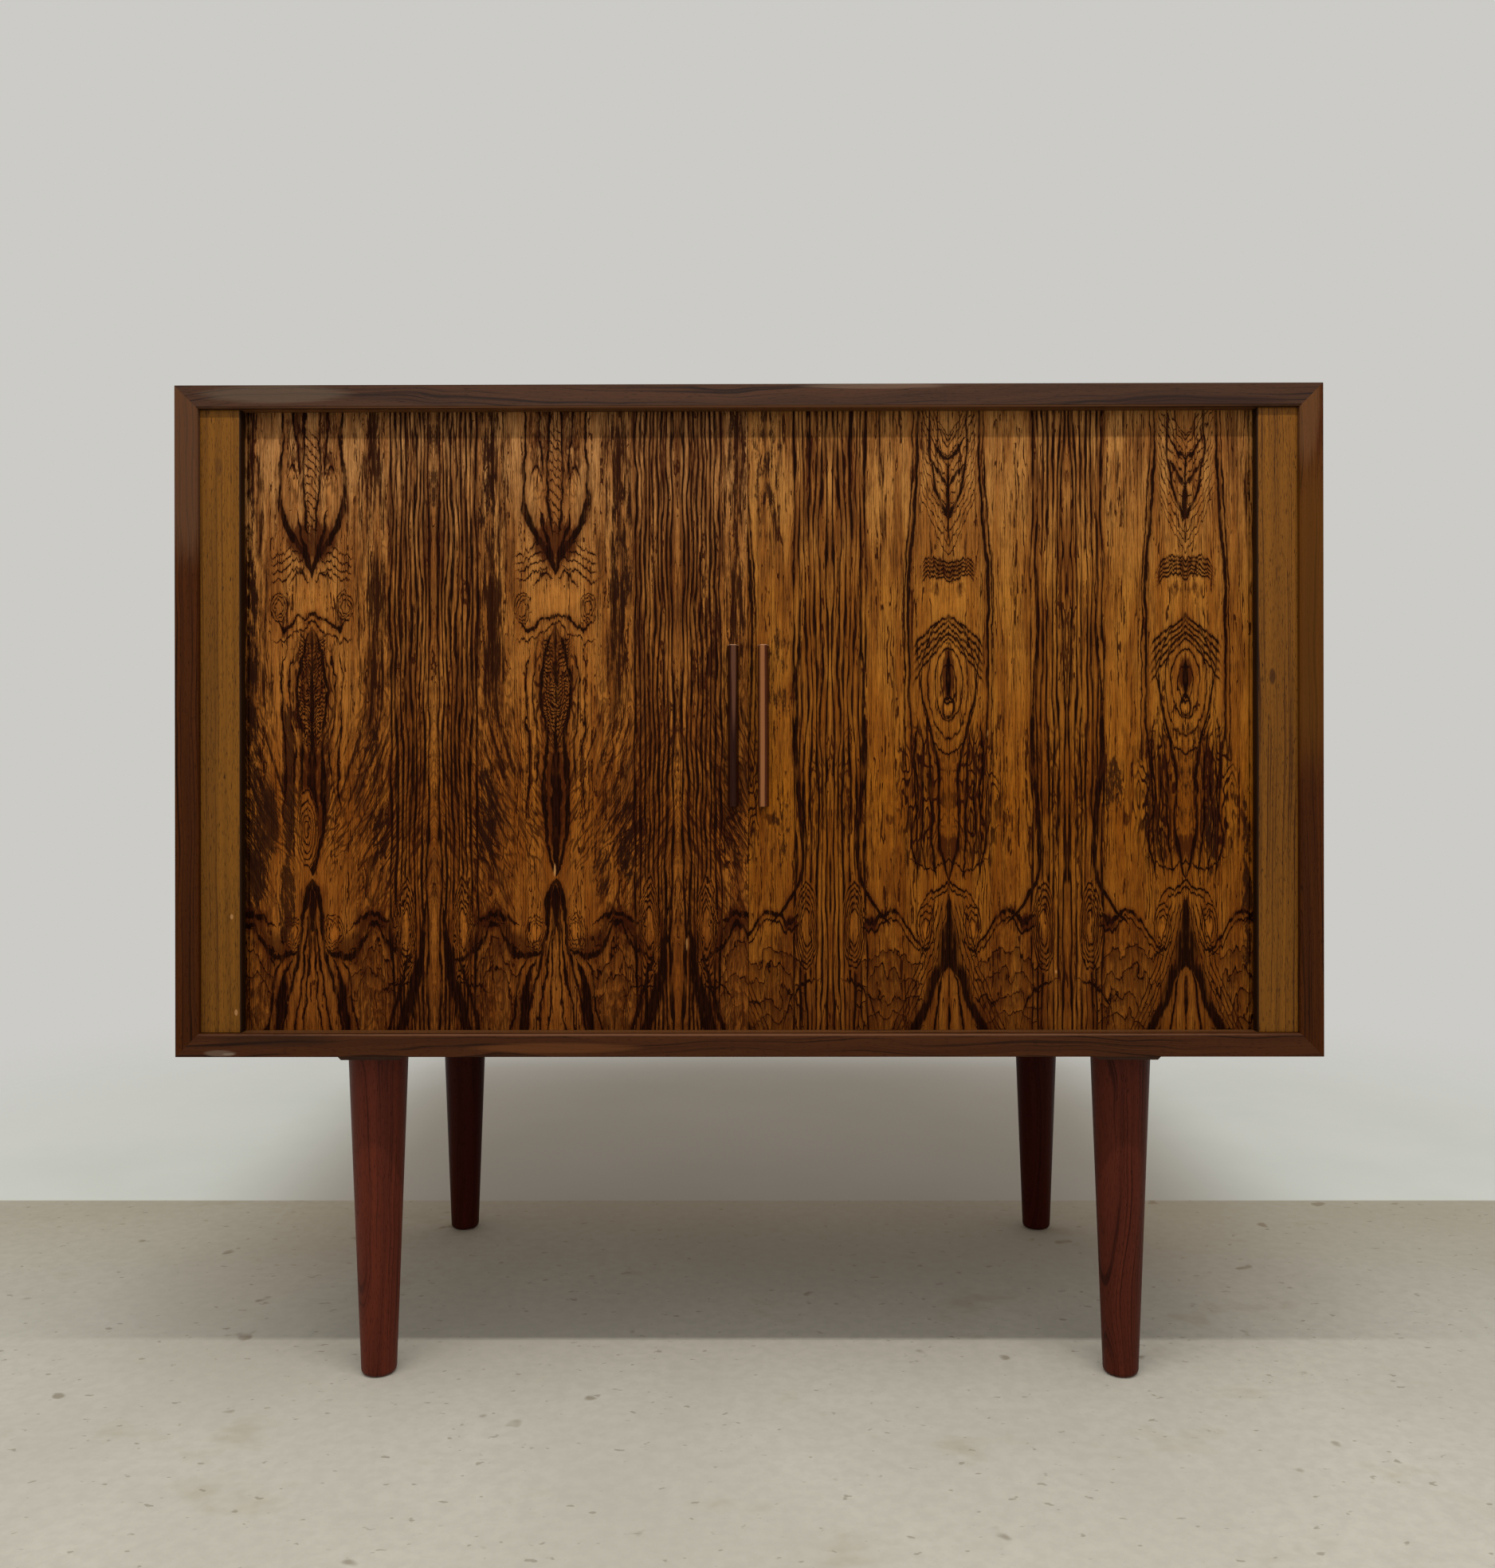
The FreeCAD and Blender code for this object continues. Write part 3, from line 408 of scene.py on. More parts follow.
# %% Canvas, steel and brass
def woven(name, light, dark, pitch):
    """Plain weave of threads that far apart, in millimetres."""
    finish = Finish(name)
    path, drop = finish.figure()
    a, b = ((distance * (1000 * math.pi / pitch)).sine() for distance in (path, drop))
    over = (a * b).fade(-0.2, 0.2)
    height = over * (a * a) + (1 - over) * (b * b)
    slub = (finish.noise(finish.join(path * 60, drop * 900, 0.0))
            + finish.noise(finish.join(path * 900, drop * 60, 4.0)))
    colour = finish.blend(height * 0.6 + slub * 0.3, seen(*dark), seen(*light))
    finish.set(base_color=colour, roughness=0.9, specular_ior_level=0.15)
    finish.bump(height, 0.0002, 0.6)
    return finish.material


def metal(name, colour, rough, grain):
    """Metal with fine turning marks."""
    finish = Finish(name)
    mark = finish.noise(finish.place() * (grain, grain, grain), 3)
    light = seen(*colour)
    finish.set(base_color=finish.blend(mark.fade(0.3, 0.7), light, tuple(v * 0.7 for v in light)),
               metallic=1.0, roughness=rough + (mark - 0.5) * 0.2)
    finish.bump(mark, 0.00004, 0.4)
    return finish.material


canvas_cloth = woven("door_canvas", (150, 128, 96), (84, 66, 44), 0.55)
screw_steel = metal("screw_steel", (176, 172, 164), 0.35, 900)
brass_pin = metal("brass_pin", (200, 160, 88), 0.3, 700)
print("cloth and metals ready")

# %% [markdown]
# The two doors come from different stretches of the log. The right one is bright and calm:
# arrow heads at the top, an arch over a long eye, a black flame at the foot, and wide plain
# fields between. The left one is darker and more broken. Each entry below is one line of
# the figure: where it runs, then how wide it is on the way.

# %% The figure of the right door
right = SimpleNamespace(heart=159, leaf_width=94, seed=2.0, wild=1.0, gloom=0.6)
# Lines down the leaf: (drop, out), then (drop, half width), in millimetres
right.down = (
    (((0, 24), (50, 25), (105, 29), (150, 31.5), (250, 31), (300, 27), (366, 24)),
     ((0, 0.8), (120, 1.3), (250, 0.9), (366, 0.5), (380, 0))),
    (((0, 27.5), (50, 28.5), (110, 32.5), (160, 34.5), (240, 35), (300, 33)),
     ((0, 0.4), (100, 0.6), (200, 0.4), (280, 0.3), (300, 0))),
    (((7, 14.5), (32, 14.8), (49, 13), (64, 10.5), (79, 6), (92, 0)),
     ((0, 0.5), (40, 0.8), (80, 0.6), (93, 0))),
    (((0, 0), (500, 0)),
     ((36, 0), (45, 0.5), (64, 0.8), (72, 1.9), (82, 2.2), (92, 0.3), (106, 0.4), (112, 0))),
    (((0, 0), (500, 0)), ((184, 0), (198, 0.5), (211, 1.8), (222, 2.3), (228, 1.4), (233, 0))),
    (((190, 24.5), (212, 23), (230, 20.5), (248, 17), (262, 13), (280, 9.5), (300, 7.5), (330, 8.8),
      (349, 7.4), (364, 4), (378, 0)),
     ((190, 0.2), (230, 0.6), (262, 0.9), (285, 1.3), (305, 1.2), (330, 0.9), (350, 1.4), (368, 1),
      (380, 0))),
    (((250, 25), (280, 27), (311, 24), (343, 29), (366, 25)),
     ((246, 0), (256, 0.4), (280, 0.8), (311, 0.7), (343, 0.9), (368, 0.5), (376, 0))),
    (((255, 18), (290, 15), (320, 14), (345, 13.5), (372, 11)),
     ((252, 0), (272, 0.8), (300, 1.3), (340, 0.9), (368, 0.7), (378, 0))),
    (((255, 21.5), (300, 20), (340, 21), (372, 17)),
     ((254, 0), (275, 0.5), (310, 0.8), (340, 0.5), (370, 0.4), (376, 0))),
    (((120, 72), (180, 70), (248, 66.5), (290, 67.5), (320, 70.7), (349, 72), (372, 70.5), (388, 64),
      (400, 57), (408, 50)),
     ((120, 0), (180, 0.6), (248, 1), (290, 2.1), (330, 1.7), (349, 1.2), (380, 1.4), (402, 1.6),
      (410, 0.8), (413, 0))),
    (((391, 0), (440, 0), (445, 5), (450, 8.6), (459, 12.6), (472, 16.8), (486, 23), (500, 30)),
     ((388, 0), (406, 3), (417, 5.6), (427, 8), (439, 10), (446, 6.5), (452, 4.4), (462, 3.4), (478, 3.8),
      (500, 4.6))),
    (((448, 4), (462, 7.5), (478, 9.5), (500, 12)), ((446, 0), (455, 0.7), (480, 0.9), (500, 0.8))),
    (((452, 0), (500, 0)), ((450, 0), (458, 0.6), (480, 1), (500, 0.7))),
)
# Lines across the leaf: (out, drop), then (out, half width)
right.across = (
    (((0, 43), (5, 39), (11.6, 30), (16, 22)), ((0, 0.8), (5, 2.4), (9, 2), (13, 0.6), (15, 0))),
    (((0, 64), (4, 58.5), (8.5, 53), (13, 46)), ((0, 0.6), (4, 2.2), (8, 2.4), (12, 1), (14, 0))),
    (((0, 91), (3, 84), (5.3, 79), (9, 70), (13, 61)), ((0, 2.5), (4, 3), (8, 2.2), (12, 1), (14.5, 0))),
    (((0, 28), (3, 24), (6, 18)), ((0, 0.9), (3, 0.8), (6, 0))),
    (((12, 428), (16, 431.5), (21, 431), (26, 425), (31, 418), (35, 411), (40, 405), (45, 402), (50, 403.5),
      (55, 406), (60, 411.5), (64, 409.5), (69, 404)),
     ((10, 0), (13, 0.8), (20, 1.4), (30, 1.5), (45, 1.7), (54, 2), (60, 3.6), (64, 2.6), (68, 0.6),
      (70, 0))),
    (((18, 437), (26, 431), (32, 424), (37, 415), (42, 410), (47, 408), (53, 411), (58, 418), (64, 417),
      (69, 413)),
     ((16, 0), (22, 0.7), (36, 0.9), (46, 0.8), (56, 1.4), (64, 1.2), (70, 0))),
    (((0, 378), (5, 383), (10, 385), (16, 388), (20, 393.5), (23, 401)),
     ((0, 1.4), (8, 1), (16, 0.8), (22, 0.5), (25, 0))),
    (((0, 383), (5, 388), (10, 390), (15, 394), (18, 400)), ((0, 0.8), (8, 0.7), (15, 0.5), (18, 0))),
    (((0, 362), (6, 366), (12, 369), (20, 366), (27, 362), (34, 358)),
     ((0, 0.9), (12, 0.8), (24, 0.7), (34, 0))),
    (((57, 492), (60, 478), (66, 467), (75, 460), (84, 456), (90, 455)),
     ((55, 0), (58, 1.2), (66, 1.6), (76, 1.2), (83, 0.6), (87, 0))),
)

# %% [markdown]
# The left leaf is written down in the same way, with the lines that run down it first. A
# pointed outline hangs from its top, and a long dark heart stands below that.

# %% The figure of the left door
left = SimpleNamespace(heart=153, leaf_width=97, seed=71.0, wild=1.8, gloom=0.8)
left.down = (
    (((0, 24), (30, 23.5), (55, 26), (75, 26), (88, 23), (102, 16), (112, 10), (120, 5), (134, 0)),
     ((0, 0.8), (40, 1), (60, 1.4), (75, 2), (88, 3.2), (102, 3), (112, 3), (122, 2.6), (134, 0.8),
      (138, 0))),
    (((0, 5.5), (60, 6), (85, 5), (104, 3)), ((0, 0.9), (60, 0.7), (90, 1.2), (106, 0))),
    (((0, 14), (30, 12), (45, 10), (60, 9)), ((0, 1.4), (20, 0.6), (45, 0.8), (58, 0))),
    (((84, 12), (100, 9), (118, 4), (134, 0)),
     ((80, 0), (90, 0.7), (102, 1.2), (114, 1.6), (124, 1.8), (136, 0))),
    (((176, 1), (190, 5), (205, 9), (222, 11.5), (240, 10.5), (256, 9), (275, 8), (300, 8.5), (340, 7.5),
      (360, 4), (374, 0)),
     ((174, 0), (186, 1), (205, 1.3), (240, 1.4), (280, 1.6), (320, 2), (345, 1.6), (366, 1), (376, 0))),
    (((0, 0), (500, 0)),
     ((172, 0), (184, 1.4), (205, 0.7), (232, 0.8), (256, 1.4), (270, 2), (290, 3.4), (322, 3.6),
      (344, 2.2), (362, 1.6), (376, 0))),
    (((190, 14), (222, 18), (250, 17), (275, 14), (300, 15)),
     ((185, 0), (205, 0.5), (250, 0.6), (285, 0.9), (305, 0))),
    (((190, 20), (222, 24), (250, 23), (290, 21), (330, 24)),
     ((185, 0), (205, 0.4), (250, 0.7), (300, 0.9), (335, 0))),
    (((376, 0), (385, 4), (395, 6), (420, 8.6), (440, 12), (460, 17), (480, 21), (500, 24)),
     ((374, 0), (380, 1.6), (392, 2.4), (410, 1.4), (440, 1.3), (470, 1.1), (500, 0.9))),
    (((390, 1), (420, 4), (450, 8), (475, 12), (500, 15)),
     ((380, 0), (392, 1.6), (420, 0.9), (460, 0.8), (500, 0.7))),
    (((396, 0), (440, 2.5), (470, 5.5), (500, 8)), ((385, 0), (400, 1.2), (440, 0.7), (500, 0.6))),
    (((440, 17), (455, 22), (475, 25), (500, 28)), ((438, 0), (455, 2), (475, 3.6), (500, 3))),
    (((442, 24), (455, 30), (470, 31), (500, 38)), ((438, 0), (450, 1.2), (480, 1), (500, 0.9))),
    (((430, 79), (450, 74), (475, 66), (500, 60)), ((428, 0), (445, 1.1), (470, 1.8), (500, 1.5))),
    (((396, 90), (408, 88.7), (438, 85.5), (459, 82), (480, 75.5), (500, 70)),
     ((392, 0), (408, 1.4), (438, 3), (459, 4.6), (480, 5), (500, 4.6))),
)
left.across = (
    (((7, 88), (9, 66), (12, 54), (15.5, 48), (19, 55), (22, 76)),
     ((6, 0), (8, 0.6), (12, 0.8), (16, 1.2), (20, 0.7), (23, 0))),
    (((3, 137), (8, 133), (14, 136), (19, 142)), ((2, 0), (5, 1.2), (12, 1.2), (19, 0))),
    (((0, 166), (5, 170), (10, 169), (16, 175), (22, 178), (28, 171)),
     ((0, 1.8), (8, 1.2), (18, 2), (25, 1.6), (30, 0))),
    (((0, 172), (6, 177), (14, 182), (24, 187), (32, 186)), ((0, 0.9), (12, 0.6), (25, 0.7), (33, 0))),
    (((10, 434), (20, 436), (28, 437), (36, 432), (41, 424), (46, 413), (52, 412), (57, 424), (64, 431),
      (72, 438), (80, 441)),
     ((9, 0), (14, 2), (28, 3), (36, 3.4), (46, 2.4), (60, 2.2), (72, 1.6), (84, 0))),
    (((30, 414), (40, 406), (50, 404), (60, 410), (70, 414)),
     ((28, 0), (36, 1.6), (46, 2.4), (58, 1.8), (70, 0))),
    (((54, 468), (62, 461), (70, 459), (80, 462)), ((52, 0), (60, 1), (72, 1), (82, 0))),
)
DOORS = {"right": right, "left": left}
for side_name, door in DOORS.items():
    print("lines drawn on the", side_name, "leaf:", len(door.down) + len(door.across))

# %% [markdown]
# The growth lines that come in families are not drawn one by one. A distance from a centre,
# a slope or an arch is worked out for each point, and a line is put wherever that distance
# is a whole number: rings round a knot, chevrons, ripples and the straight lines of the fold.

# %% Families of growth lines
def oval(across, down, middle, drop, wide, high):
    """The squared distance from a place, where 1 is the edge of an ellipse that wide and high."""
    a, b = (across - middle) / wide, (down - drop) / high
    return a * a + b * b


def rings(leaf, out, drop, half_width, half_height, lines, step, half):
    """Rings round a knot, the first one that wide and high."""
    radius = oval(leaf.s, leaf.e, out, drop, half_width, half_height).root()
    leaf.nest((radius - 1) / step, lines, half)
    return radius


def within(value, low, high, soft):
    """0 from low to high, and growing outside, to keep a family of lines away."""
    return ((low - value).most(value - high) / soft).most(0)


def waves(leaf, foot, apart, lines, sides, fade_in, fade_out):
    """Wandering growth lines below a curve at the foot, with a shade that thins out under each of them."""
    wave = (leaf.e - foot) / apart + leaf.wander * 3.4 - 1
    leaf.nest(wave, lines, 0.045, within(leaf.s, *sides, 3))
    leaf.shade = ((1 - wave.fraction()) * wave.fade(-0.1, 0.1) * leaf.s.fade(*fade_in)
                  * leaf.s.fade(*fade_out, 1, 0))


def right_families(leaf):
    s, e = leaf.s, leaf.e
    chevron = (e + s * 1.2 + s * s * 0.04 - 24) / 8.5
    leaf.nest(chevron, 12, 0.07, within(s, -9, 21, 2))
    ripple = (e - 124 + s * 0.12 - (s - 15).most(0) * 1.1) / 3.3
    leaf.nest(ripple, 5, 0.24, within(s, -9, 19, 2))
    arch = (e - 167 - s * 0.62 - s * s * 0.010) / (4.4 + s * 0.09)
    leaf.nest(arch, 5, 0.2, within(s, -9, 25, 2))
    rings(leaf, 0, 222, 6, 15, 4, 0.85, 0.07)
    rings(leaf, 1, 240, 3.2, 7, 1, 1, 0.22)
    rings(leaf, 18.5, 415, 3.4, 9, 3, 0.5, 0.14)
    eye = rings(leaf, 75, 414, 3.6, 14, 5, 0.36, 0.2)
    flank = leaf.drop.curve(((380, 0), (391, 1), (406, 4), (427, 9), (444, 13), (459, 19), (478, 27),
                             (500, 36)), LEAF_HIGH, LEAF_WIDE)
    leaf.nest((s - flank) / 3.4, 4, 0.1, within(e, 398, 520, 3))
    foot = leaf.out.curve(((0, 470), (15, 444), (25, 454), (35, 452), (45, 441), (50, 447), (60, 448),
                           (70, 453), (95, 452)), LEAF_WIDE, LEAF_HIGH)
    waves(leaf, foot, 17, 4, (22, 72), (20, 28), (70, 78))
    fold = (leaf.calm - 70) / 4.3 + leaf.drift * 2
    leaf.nest(fold, 8, leaf.fold_half, (2.8 - eye).most(0) * 5)


def left_families(leaf):
    s, e = leaf.s, leaf.e
    a, b = (leaf.path - 352 + s * 0.15) / 8.5, (e - 336) / 30
    knot = (a * a + b * b).root()
    leaf.window = knot.fade(0.9, 1.15, 1, 0)
    leaf.near = leaf.near + leaf.window * 8
    leaf.nest((knot - 0.25) / 0.2, 5, 0.12)
    leaf.nest((e - s * 0.5 - 104) / 7 + leaf.drift * 2.6 - 1.3, 4, 0.09, within(s, 8, 30, 2))
    rings(leaf, 26, 160, 3, 6, 3, 0.5, 0.16)
    ladder = (e + s * 0.9 - 190) / 3.6
    leaf.nest(ladder, 24, 0.22, within(s, -9, 9, 1.5))
    rings(leaf, 16.5, 418, 4.2, 7.5, 3, 0.42, 0.13)
    eye = rings(leaf, 74, 416, 3.4, 17, 5, 0.34, 0.2)
    hatch = (e + leaf.path * 1.15) / 7.5
    leaf.mark(abs(hatch - hatch.rounded()) / 0.08 + within(s, -9, 4.5, 1) + within(e, 22, 100, 4))
    foot = leaf.out.curve(((0, 480), (25, 446), (36, 441), (44, 424), (52, 424), (60, 436), (72, 450),
                           (95, 450)), LEAF_WIDE, LEAF_HIGH)
    waves(leaf, foot, 18, 3, (30, 66), (24, 30), (68, 76))
    fringe = abs(e - foot + 17).fade(3, 13, 1.3, 0) * s.fade(12, 22) * s.fade(66, 74, 1, 0)
    leaf.shade = leaf.shade.most(fringe)
    fold = (leaf.calm - 67) / 3.7 + leaf.drift * 2
    leaf.nest(fold, 9, leaf.fold_half + 0.05, (2.6 - eye).most(0) * 5)


def blots(leaf, places, across):
    """How much of each point lies in soft patches: (middle, drop, half width, half height, strength)."""
    total = None
    for middle, drop, wide, high, strength in places:
        patch = oval(across, leaf.e, middle, drop, wide, high).fade(0.1, 1.3, strength, 0)
        total = patch if total is None else total.most(patch)
    return total


right.families, left.families = right_families, left_families
print("families ready")

# %% [markdown]
# The rest of what a door has of its own: pale and dark patches, bundles of streaks, and what
# changes from the top to the foot. A patch on the leaf comes back on every leaf, and one that
# is placed along the whole door comes once.

# %% Patches and streaks
# Patches on the leaf, pale, dark, and knotted: (out, drop, half width, half height, strength)
right.pale = (
    (18.5, 415, 3.2, 8, 1), (1, 240, 3, 7, 0.8), (0, 152, 24, 15, 0.45), (52, 300, 16, 110, 0.35),
    (74, 412, 3, 13, 0.7))
right.dark = (
    (0, 216, 6, 26, 0.8), (46, 328, 4, 7, 0.7), (62, 412, 7, 8, 0.8), (8, 146, 8, 8, 0.5),
    (3, 352, 8, 12, 0.8), (0, 128, 20, 10, 0.45))
right.knots = ((22, 308, 22, 66, 1.2), (84, 300, 8, 60, 0.8))
left.pale = (
    (16.5, 418, 3.6, 7, 1), (2, 153, 18, 11, 0.6), (14, 62, 5, 16, 0.6), (74, 412, 2.6, 15, 0.8),
    (72, 200, 20, 300, 0.3))
left.dark = (
    (0, 225, 11, 42, 0.4), (2, 312, 8, 62, 0.7), (58, 335, 8, 30, 0.7), (8, 108, 13, 20, 0.85),
    (13, 20, 11, 46, 0.55), (24, 476, 6, 26, 0.8), (55, 412, 9, 9, 0.7), (0, 392, 7, 12, 0.8))
left.knots = ((12, 36, 12, 50, 0.6), (8, 230, 12, 60, 1), (18, 330, 14, 50, 0.8), (58, 345, 18, 44, 1))
# Patches and small pale chips that come once: (path, drop, half width, half height, strength)
right.once = (
    (14, 42, 16, 80, 0.5), (20, 215, 17, 60, 0.5), (26, 340, 10, 44, 0.45), (286, 300, 15, 24, 0.75),
    (318, 312, 6, 60, 0.6), (352, 296, 30, 56, 0.45), (368, 330, 8, 56, 0.7), (395, 385, 5, 90, 0.75))
right.chips = ((244, 450, 1, 1.6, 0.7), (190, 262, 0.7, 2.4, 0.4))
# On the left door, the long dark patch at path 396, down the door beside its end strip, is painted shade.
left.once = (
    (384, 330, 12, 44, 0.95), (392, 374, 10, 30, 0.95), (367, 396, 9, 44, 0.9), (366, 300, 7, 80, 1),
    (336, 300, 5, 60, 0.7), (208, 322, 11, 50, 0.7), (92, 348, 18, 44, 0.75), (118, 366, 10, 30, 0.65),
    (300, 268, 7, 24, 0.55), (100, 118, 12, 70, 0.62), (33, 190, 13, 70, 0.62), (207, 66, 8, 70, 0.6),
    (396, 250, 8, 260, 0.7), (250, 40, 10, 60, 0.5), (60, 250, 9, 50, 0.5), (290, 350, 14, 40, 0.5))
left.chips = ((154, 371, 1, 6, 0.9), (49, 430, 0.9, 5, 0.6))
# Bundles of black streaks: (out, half width), then (drop, strength)
right.streaks = (
    (22, 20, ((0, 0), (240, 0), (262, 0.8), (300, 1), (350, 1), (366, 0.4), (376, 0), (500, 0))),
    (50, 20, ((0, 0.5), (60, 0.6), (110, 0.35), (140, 0), (500, 0))),
    (72, 8, ((0, 0), (230, 0.2), (270, 0.8), (320, 0.8), (345, 0.2), (500, 0))),
)
left.streaks = (
    (50, 20, ((0, 0.9), (60, 1.1), (110, 0.9), (150, 1.2), (200, 1.1), (250, 0.8), (320, 0.8), (365, 0.7),
      (385, 0), (500, 0))),
    (26, 20, ((0, 0), (190, 0), (230, 0.5), (300, 0.6), (350, 0.4), (370, 0), (500, 0))),
    (85, 14, ((0, 0.5), (200, 0.3), (300, 0.5), (420, 0.7), (500, 0.7))),
)
# The ground colour, as (share of the height, colour): paler and greyer at the top, darker and redder at the
# foot, partly the wood's own tone and partly painted light falloff and painted sheen. Then what changes on
# the way down: (drop, strength)
right.light = ((0.0, (166, 116, 62)), (0.3, (156, 100, 36)), (0.62, (144, 85, 19)), (1.0, (136, 81, 25)))
left.light = ((0.0, (167, 120, 72)), (0.3, (159, 103, 45)), (0.62, (148, 87, 26)), (1.0, (137, 80, 27)))
right.smoke = ((0, 0.9), (60, 1), (140, 0.55), (200, 0.2), (300, 0.15), (400, 0.25), (500, 0.5))
left.smoke = ((0, 1), (100, 1), (200, 0.9), (300, 0.9), (400, 0.5), (500, 0.6))
right.flecks = ((0, 0.15), (240, 0.12), (300, 0.3), (390, 0.35), (420, 0.5), (500, 0.55))
left.flecks = ((0, 0.25), (200, 0.35), (260, 0.7), (390, 0.8), (420, 0.6), (500, 0.6))
right.tangle = ((0, 0), (380, 0), (420, 0.2), (500, 0.2))
left.tangle = ((0, 0.25), (190, 0.25), (240, 0.6), (380, 0.7), (420, 0.4), (500, 0.5))
# How far the streaks have leant away from the heart at each drop
right.lean = ((0, 0), (500, 0))
left.lean = ((0, 0), (220, 0), (290, 14), (380, 52), (420, 60), (500, 60))
print("patches:", len(right.pale + right.dark + right.once + left.pale + left.dark + left.once))

# %% [markdown]
# Between the lines the wood is never plain: greyish smudges hang down like smoke, and fine
# brown dashes and pores run with the grain. They are noise stretched ten to forty times
# along the leaf. The lines then get a soft brown edge, since the pigment bleeds a little.

# %% Veneer of the doors
THINNEST = 0.02     # half width, in millimetres


def door_veneer(name, door):
    """The veneer of one door."""
    leaf = Leaf(name, door)
    out, path, change = leaf.out, leaf.path, leaf.change
    leaf.fold_half = leaf.grain(out, 0.3, 0.012, 2).fade(0.30, 0.70, 0.05, 0.27)
    leaf.drift = leaf.grain(out, 0.10, 0.006, 25, 3, 0.6, change)
    leaf.wander = leaf.grain(out, 0.06, 0.028, 27, 3, 0.6, change)
    drop_share = leaf.drop * (1 / LEAF_HIGH)
    for lines, place, aim, reach, height in (
            (door.down, drop_share, leaf.s * (1 / LEAF_WIDE), LEAF_HIGH, LEAF_WIDE),
            (door.across, out * (1 / LEAF_WIDE), leaf.e * (1 / LEAF_HIGH), LEAF_WIDE, LEAF_HIGH)):
        for centre, width in lines:
            middle, half = (place.share_of(points, reach, height) for points in (centre, width))
            leaf.mark(abs(aim - middle) / half.most(THINNEST / height))
    door.families(leaf)
    fibre = leaf.grain(out, 0.9, 0.03, 15, 3, 0.65)
    near = leaf.near + (fibre - 0.5) * 1.1
    broken = leaf.grain(out, 0.25, 0.04, 20, 2, 0.6).fade(0.30, 0.48, 0.5, 1)
    line = near.fade(0.75, 1.2, 1, 0) * broken
    bleed = near.fade(0.8, 3.4, 1, 0)

    # Growth lines that belong to no figure: level lines of noise stretched along the leaf
    level = leaf.s * 0.34 + leaf.drift * 9
    swell = leaf.grain(out, 0.22, 0.014, 28, 2, 0.6, change)
    reach = swell.fade(0.42, 0.72, 0.02, 0.2)
    thread = (abs(level - level.rounded()) / reach).fade(0.6, 1.3, 1, 0) * swell.fade(0.40, 0.56)

    # Noise along the grain, from broad smoke down to single pores
    leaning = out + leaf.drop.curve(door.lean, LEAF_HIGH, LEAF_WIDE)
    haze = leaf.grain(out, 0.11, 0.011, 30, 4, 0.62, change)
    streak = leaf.grain(leaning, 0.36, 0.016, 40, 4, 0.7, change)
    fleck = leaf.grain(leaning, 0.26, 0.05, 70, 5, 0.72, change * 2)
    dash = leaf.grain(path, 1.1, 0.05, 50, 2, 0.6)
    hair = leaf.grain(path, 2.1, 0.06, 90, 1).fade(0.56, 0.66)
    pore = leaf.grain(path, 3.0, 0.2, 60, 1).fade(0.60, 0.72)
    field = leaf.drop.curve(door.smoke, LEAF_HIGH)
    edge = out.fade(26, 40) * out.fade(66, 74, 1, 0.6)
    smudge = (haze * 0.5 + streak * 0.5).fade(0.46, 0.62) * field * edge
    veil = streak.fade(0.50, 0.66) * (0.4 + 0.6 * field)
    bias = None
    for middle, wide, along in door.streaks:
        here = (1 - abs(out - middle) / wide).most(0) * leaf.drop.curve(along, LEAF_HIGH)
        bias = here if bias is None else bias + here
    soot = (streak * 0.45 + fibre * 0.3 + fleck * 0.25 + bias * 0.11).fade(0.56, 0.63)
    ragged = (fleck - 0.5) * 3 + (fibre - 0.5) * 0.8
    brown = (blots(leaf, door.dark, leaf.s) + ragged * 0.6).fade(0.3, 0.7)
    if leaf.window is not None:
        brown = brown * (1 - leaf.window)
    black = (blots(leaf, door.once, path) + ragged).fade(0.45, 0.75)
    mottle = fleck.fade(0.49, 0.58) * leaf.drop.curve(door.flecks, LEAF_HIGH) * edge

    # Where the trunk was knotted the growth lines wander: level lines of smooth noise, book-matched too
    eddy = leaf.grain(leaning, 0.075, 0.02, 80, drift=change) * 11 + (fibre - 0.5) * 0.4
    knotted = (leaf.drop.curve(door.tangle, LEAF_HIGH) * edge).most(blots(leaf, door.knots, leaf.s))
    tangle = (abs(eddy - eddy.rounded()) / 0.18).fade(0.5, 1.3, 1, 0) * knotted

    # The ground ramp darkens and reddens from the top of the door to its foot: partly the wood's tone,
    # partly painted light falloff, with painted sheen at the top.
    stops = [(place, seen(*colour)) for place, colour in door.light]
    ground = leaf.add("ShaderNodeValToRGB", {"stops": stops}, {0: drop_share})
    deeper = leaf.blend(1.0, ground, seen(190, 160, 128), "MULTIPLY")
    paler = leaf.blend(1.0, ground, (1.35, 1.28, 1.15), "MULTIPLY")
    colour = leaf.blend(haze.fade(0.35, 0.62) * 0.7, ground, deeper)
    colour = leaf.blend(blots(leaf, door.pale, leaf.s) * 0.6, colour, paler)
    colour = leaf.coat(
        colour, (veil * 0.55, (82, 48, 20)), (dash.fade(0.48, 0.70) * 0.55, (70, 36, 11)),
        (hair * 0.5, (48, 22, 7)), (mottle, (64, 24, 4)), (smudge * door.gloom, (52, 29, 14)),
        (leaf.shade * 0.58, (50, 20, 5)),
        (brown * 0.85, (54, 21, 5)), (thread * 0.92, (40, 12, 3)), (tangle * 0.95, (34, 10, 3)),
        (soot * 0.9, (33, 10, 3)), (black * 0.85, (34, 14, 6)), (bleed * 0.5, (60, 21, 4)))
    ink = leaf.blend(fibre.fade(0.45, 0.7), seen(15, 3, 1), seen(38, 12, 4))
    colour = leaf.coat(leaf.blend(line * 0.97, colour, ink),
                       (blots(leaf, door.chips, path), (176, 124, 70)), (pore * 0.4, (44, 24, 10)))
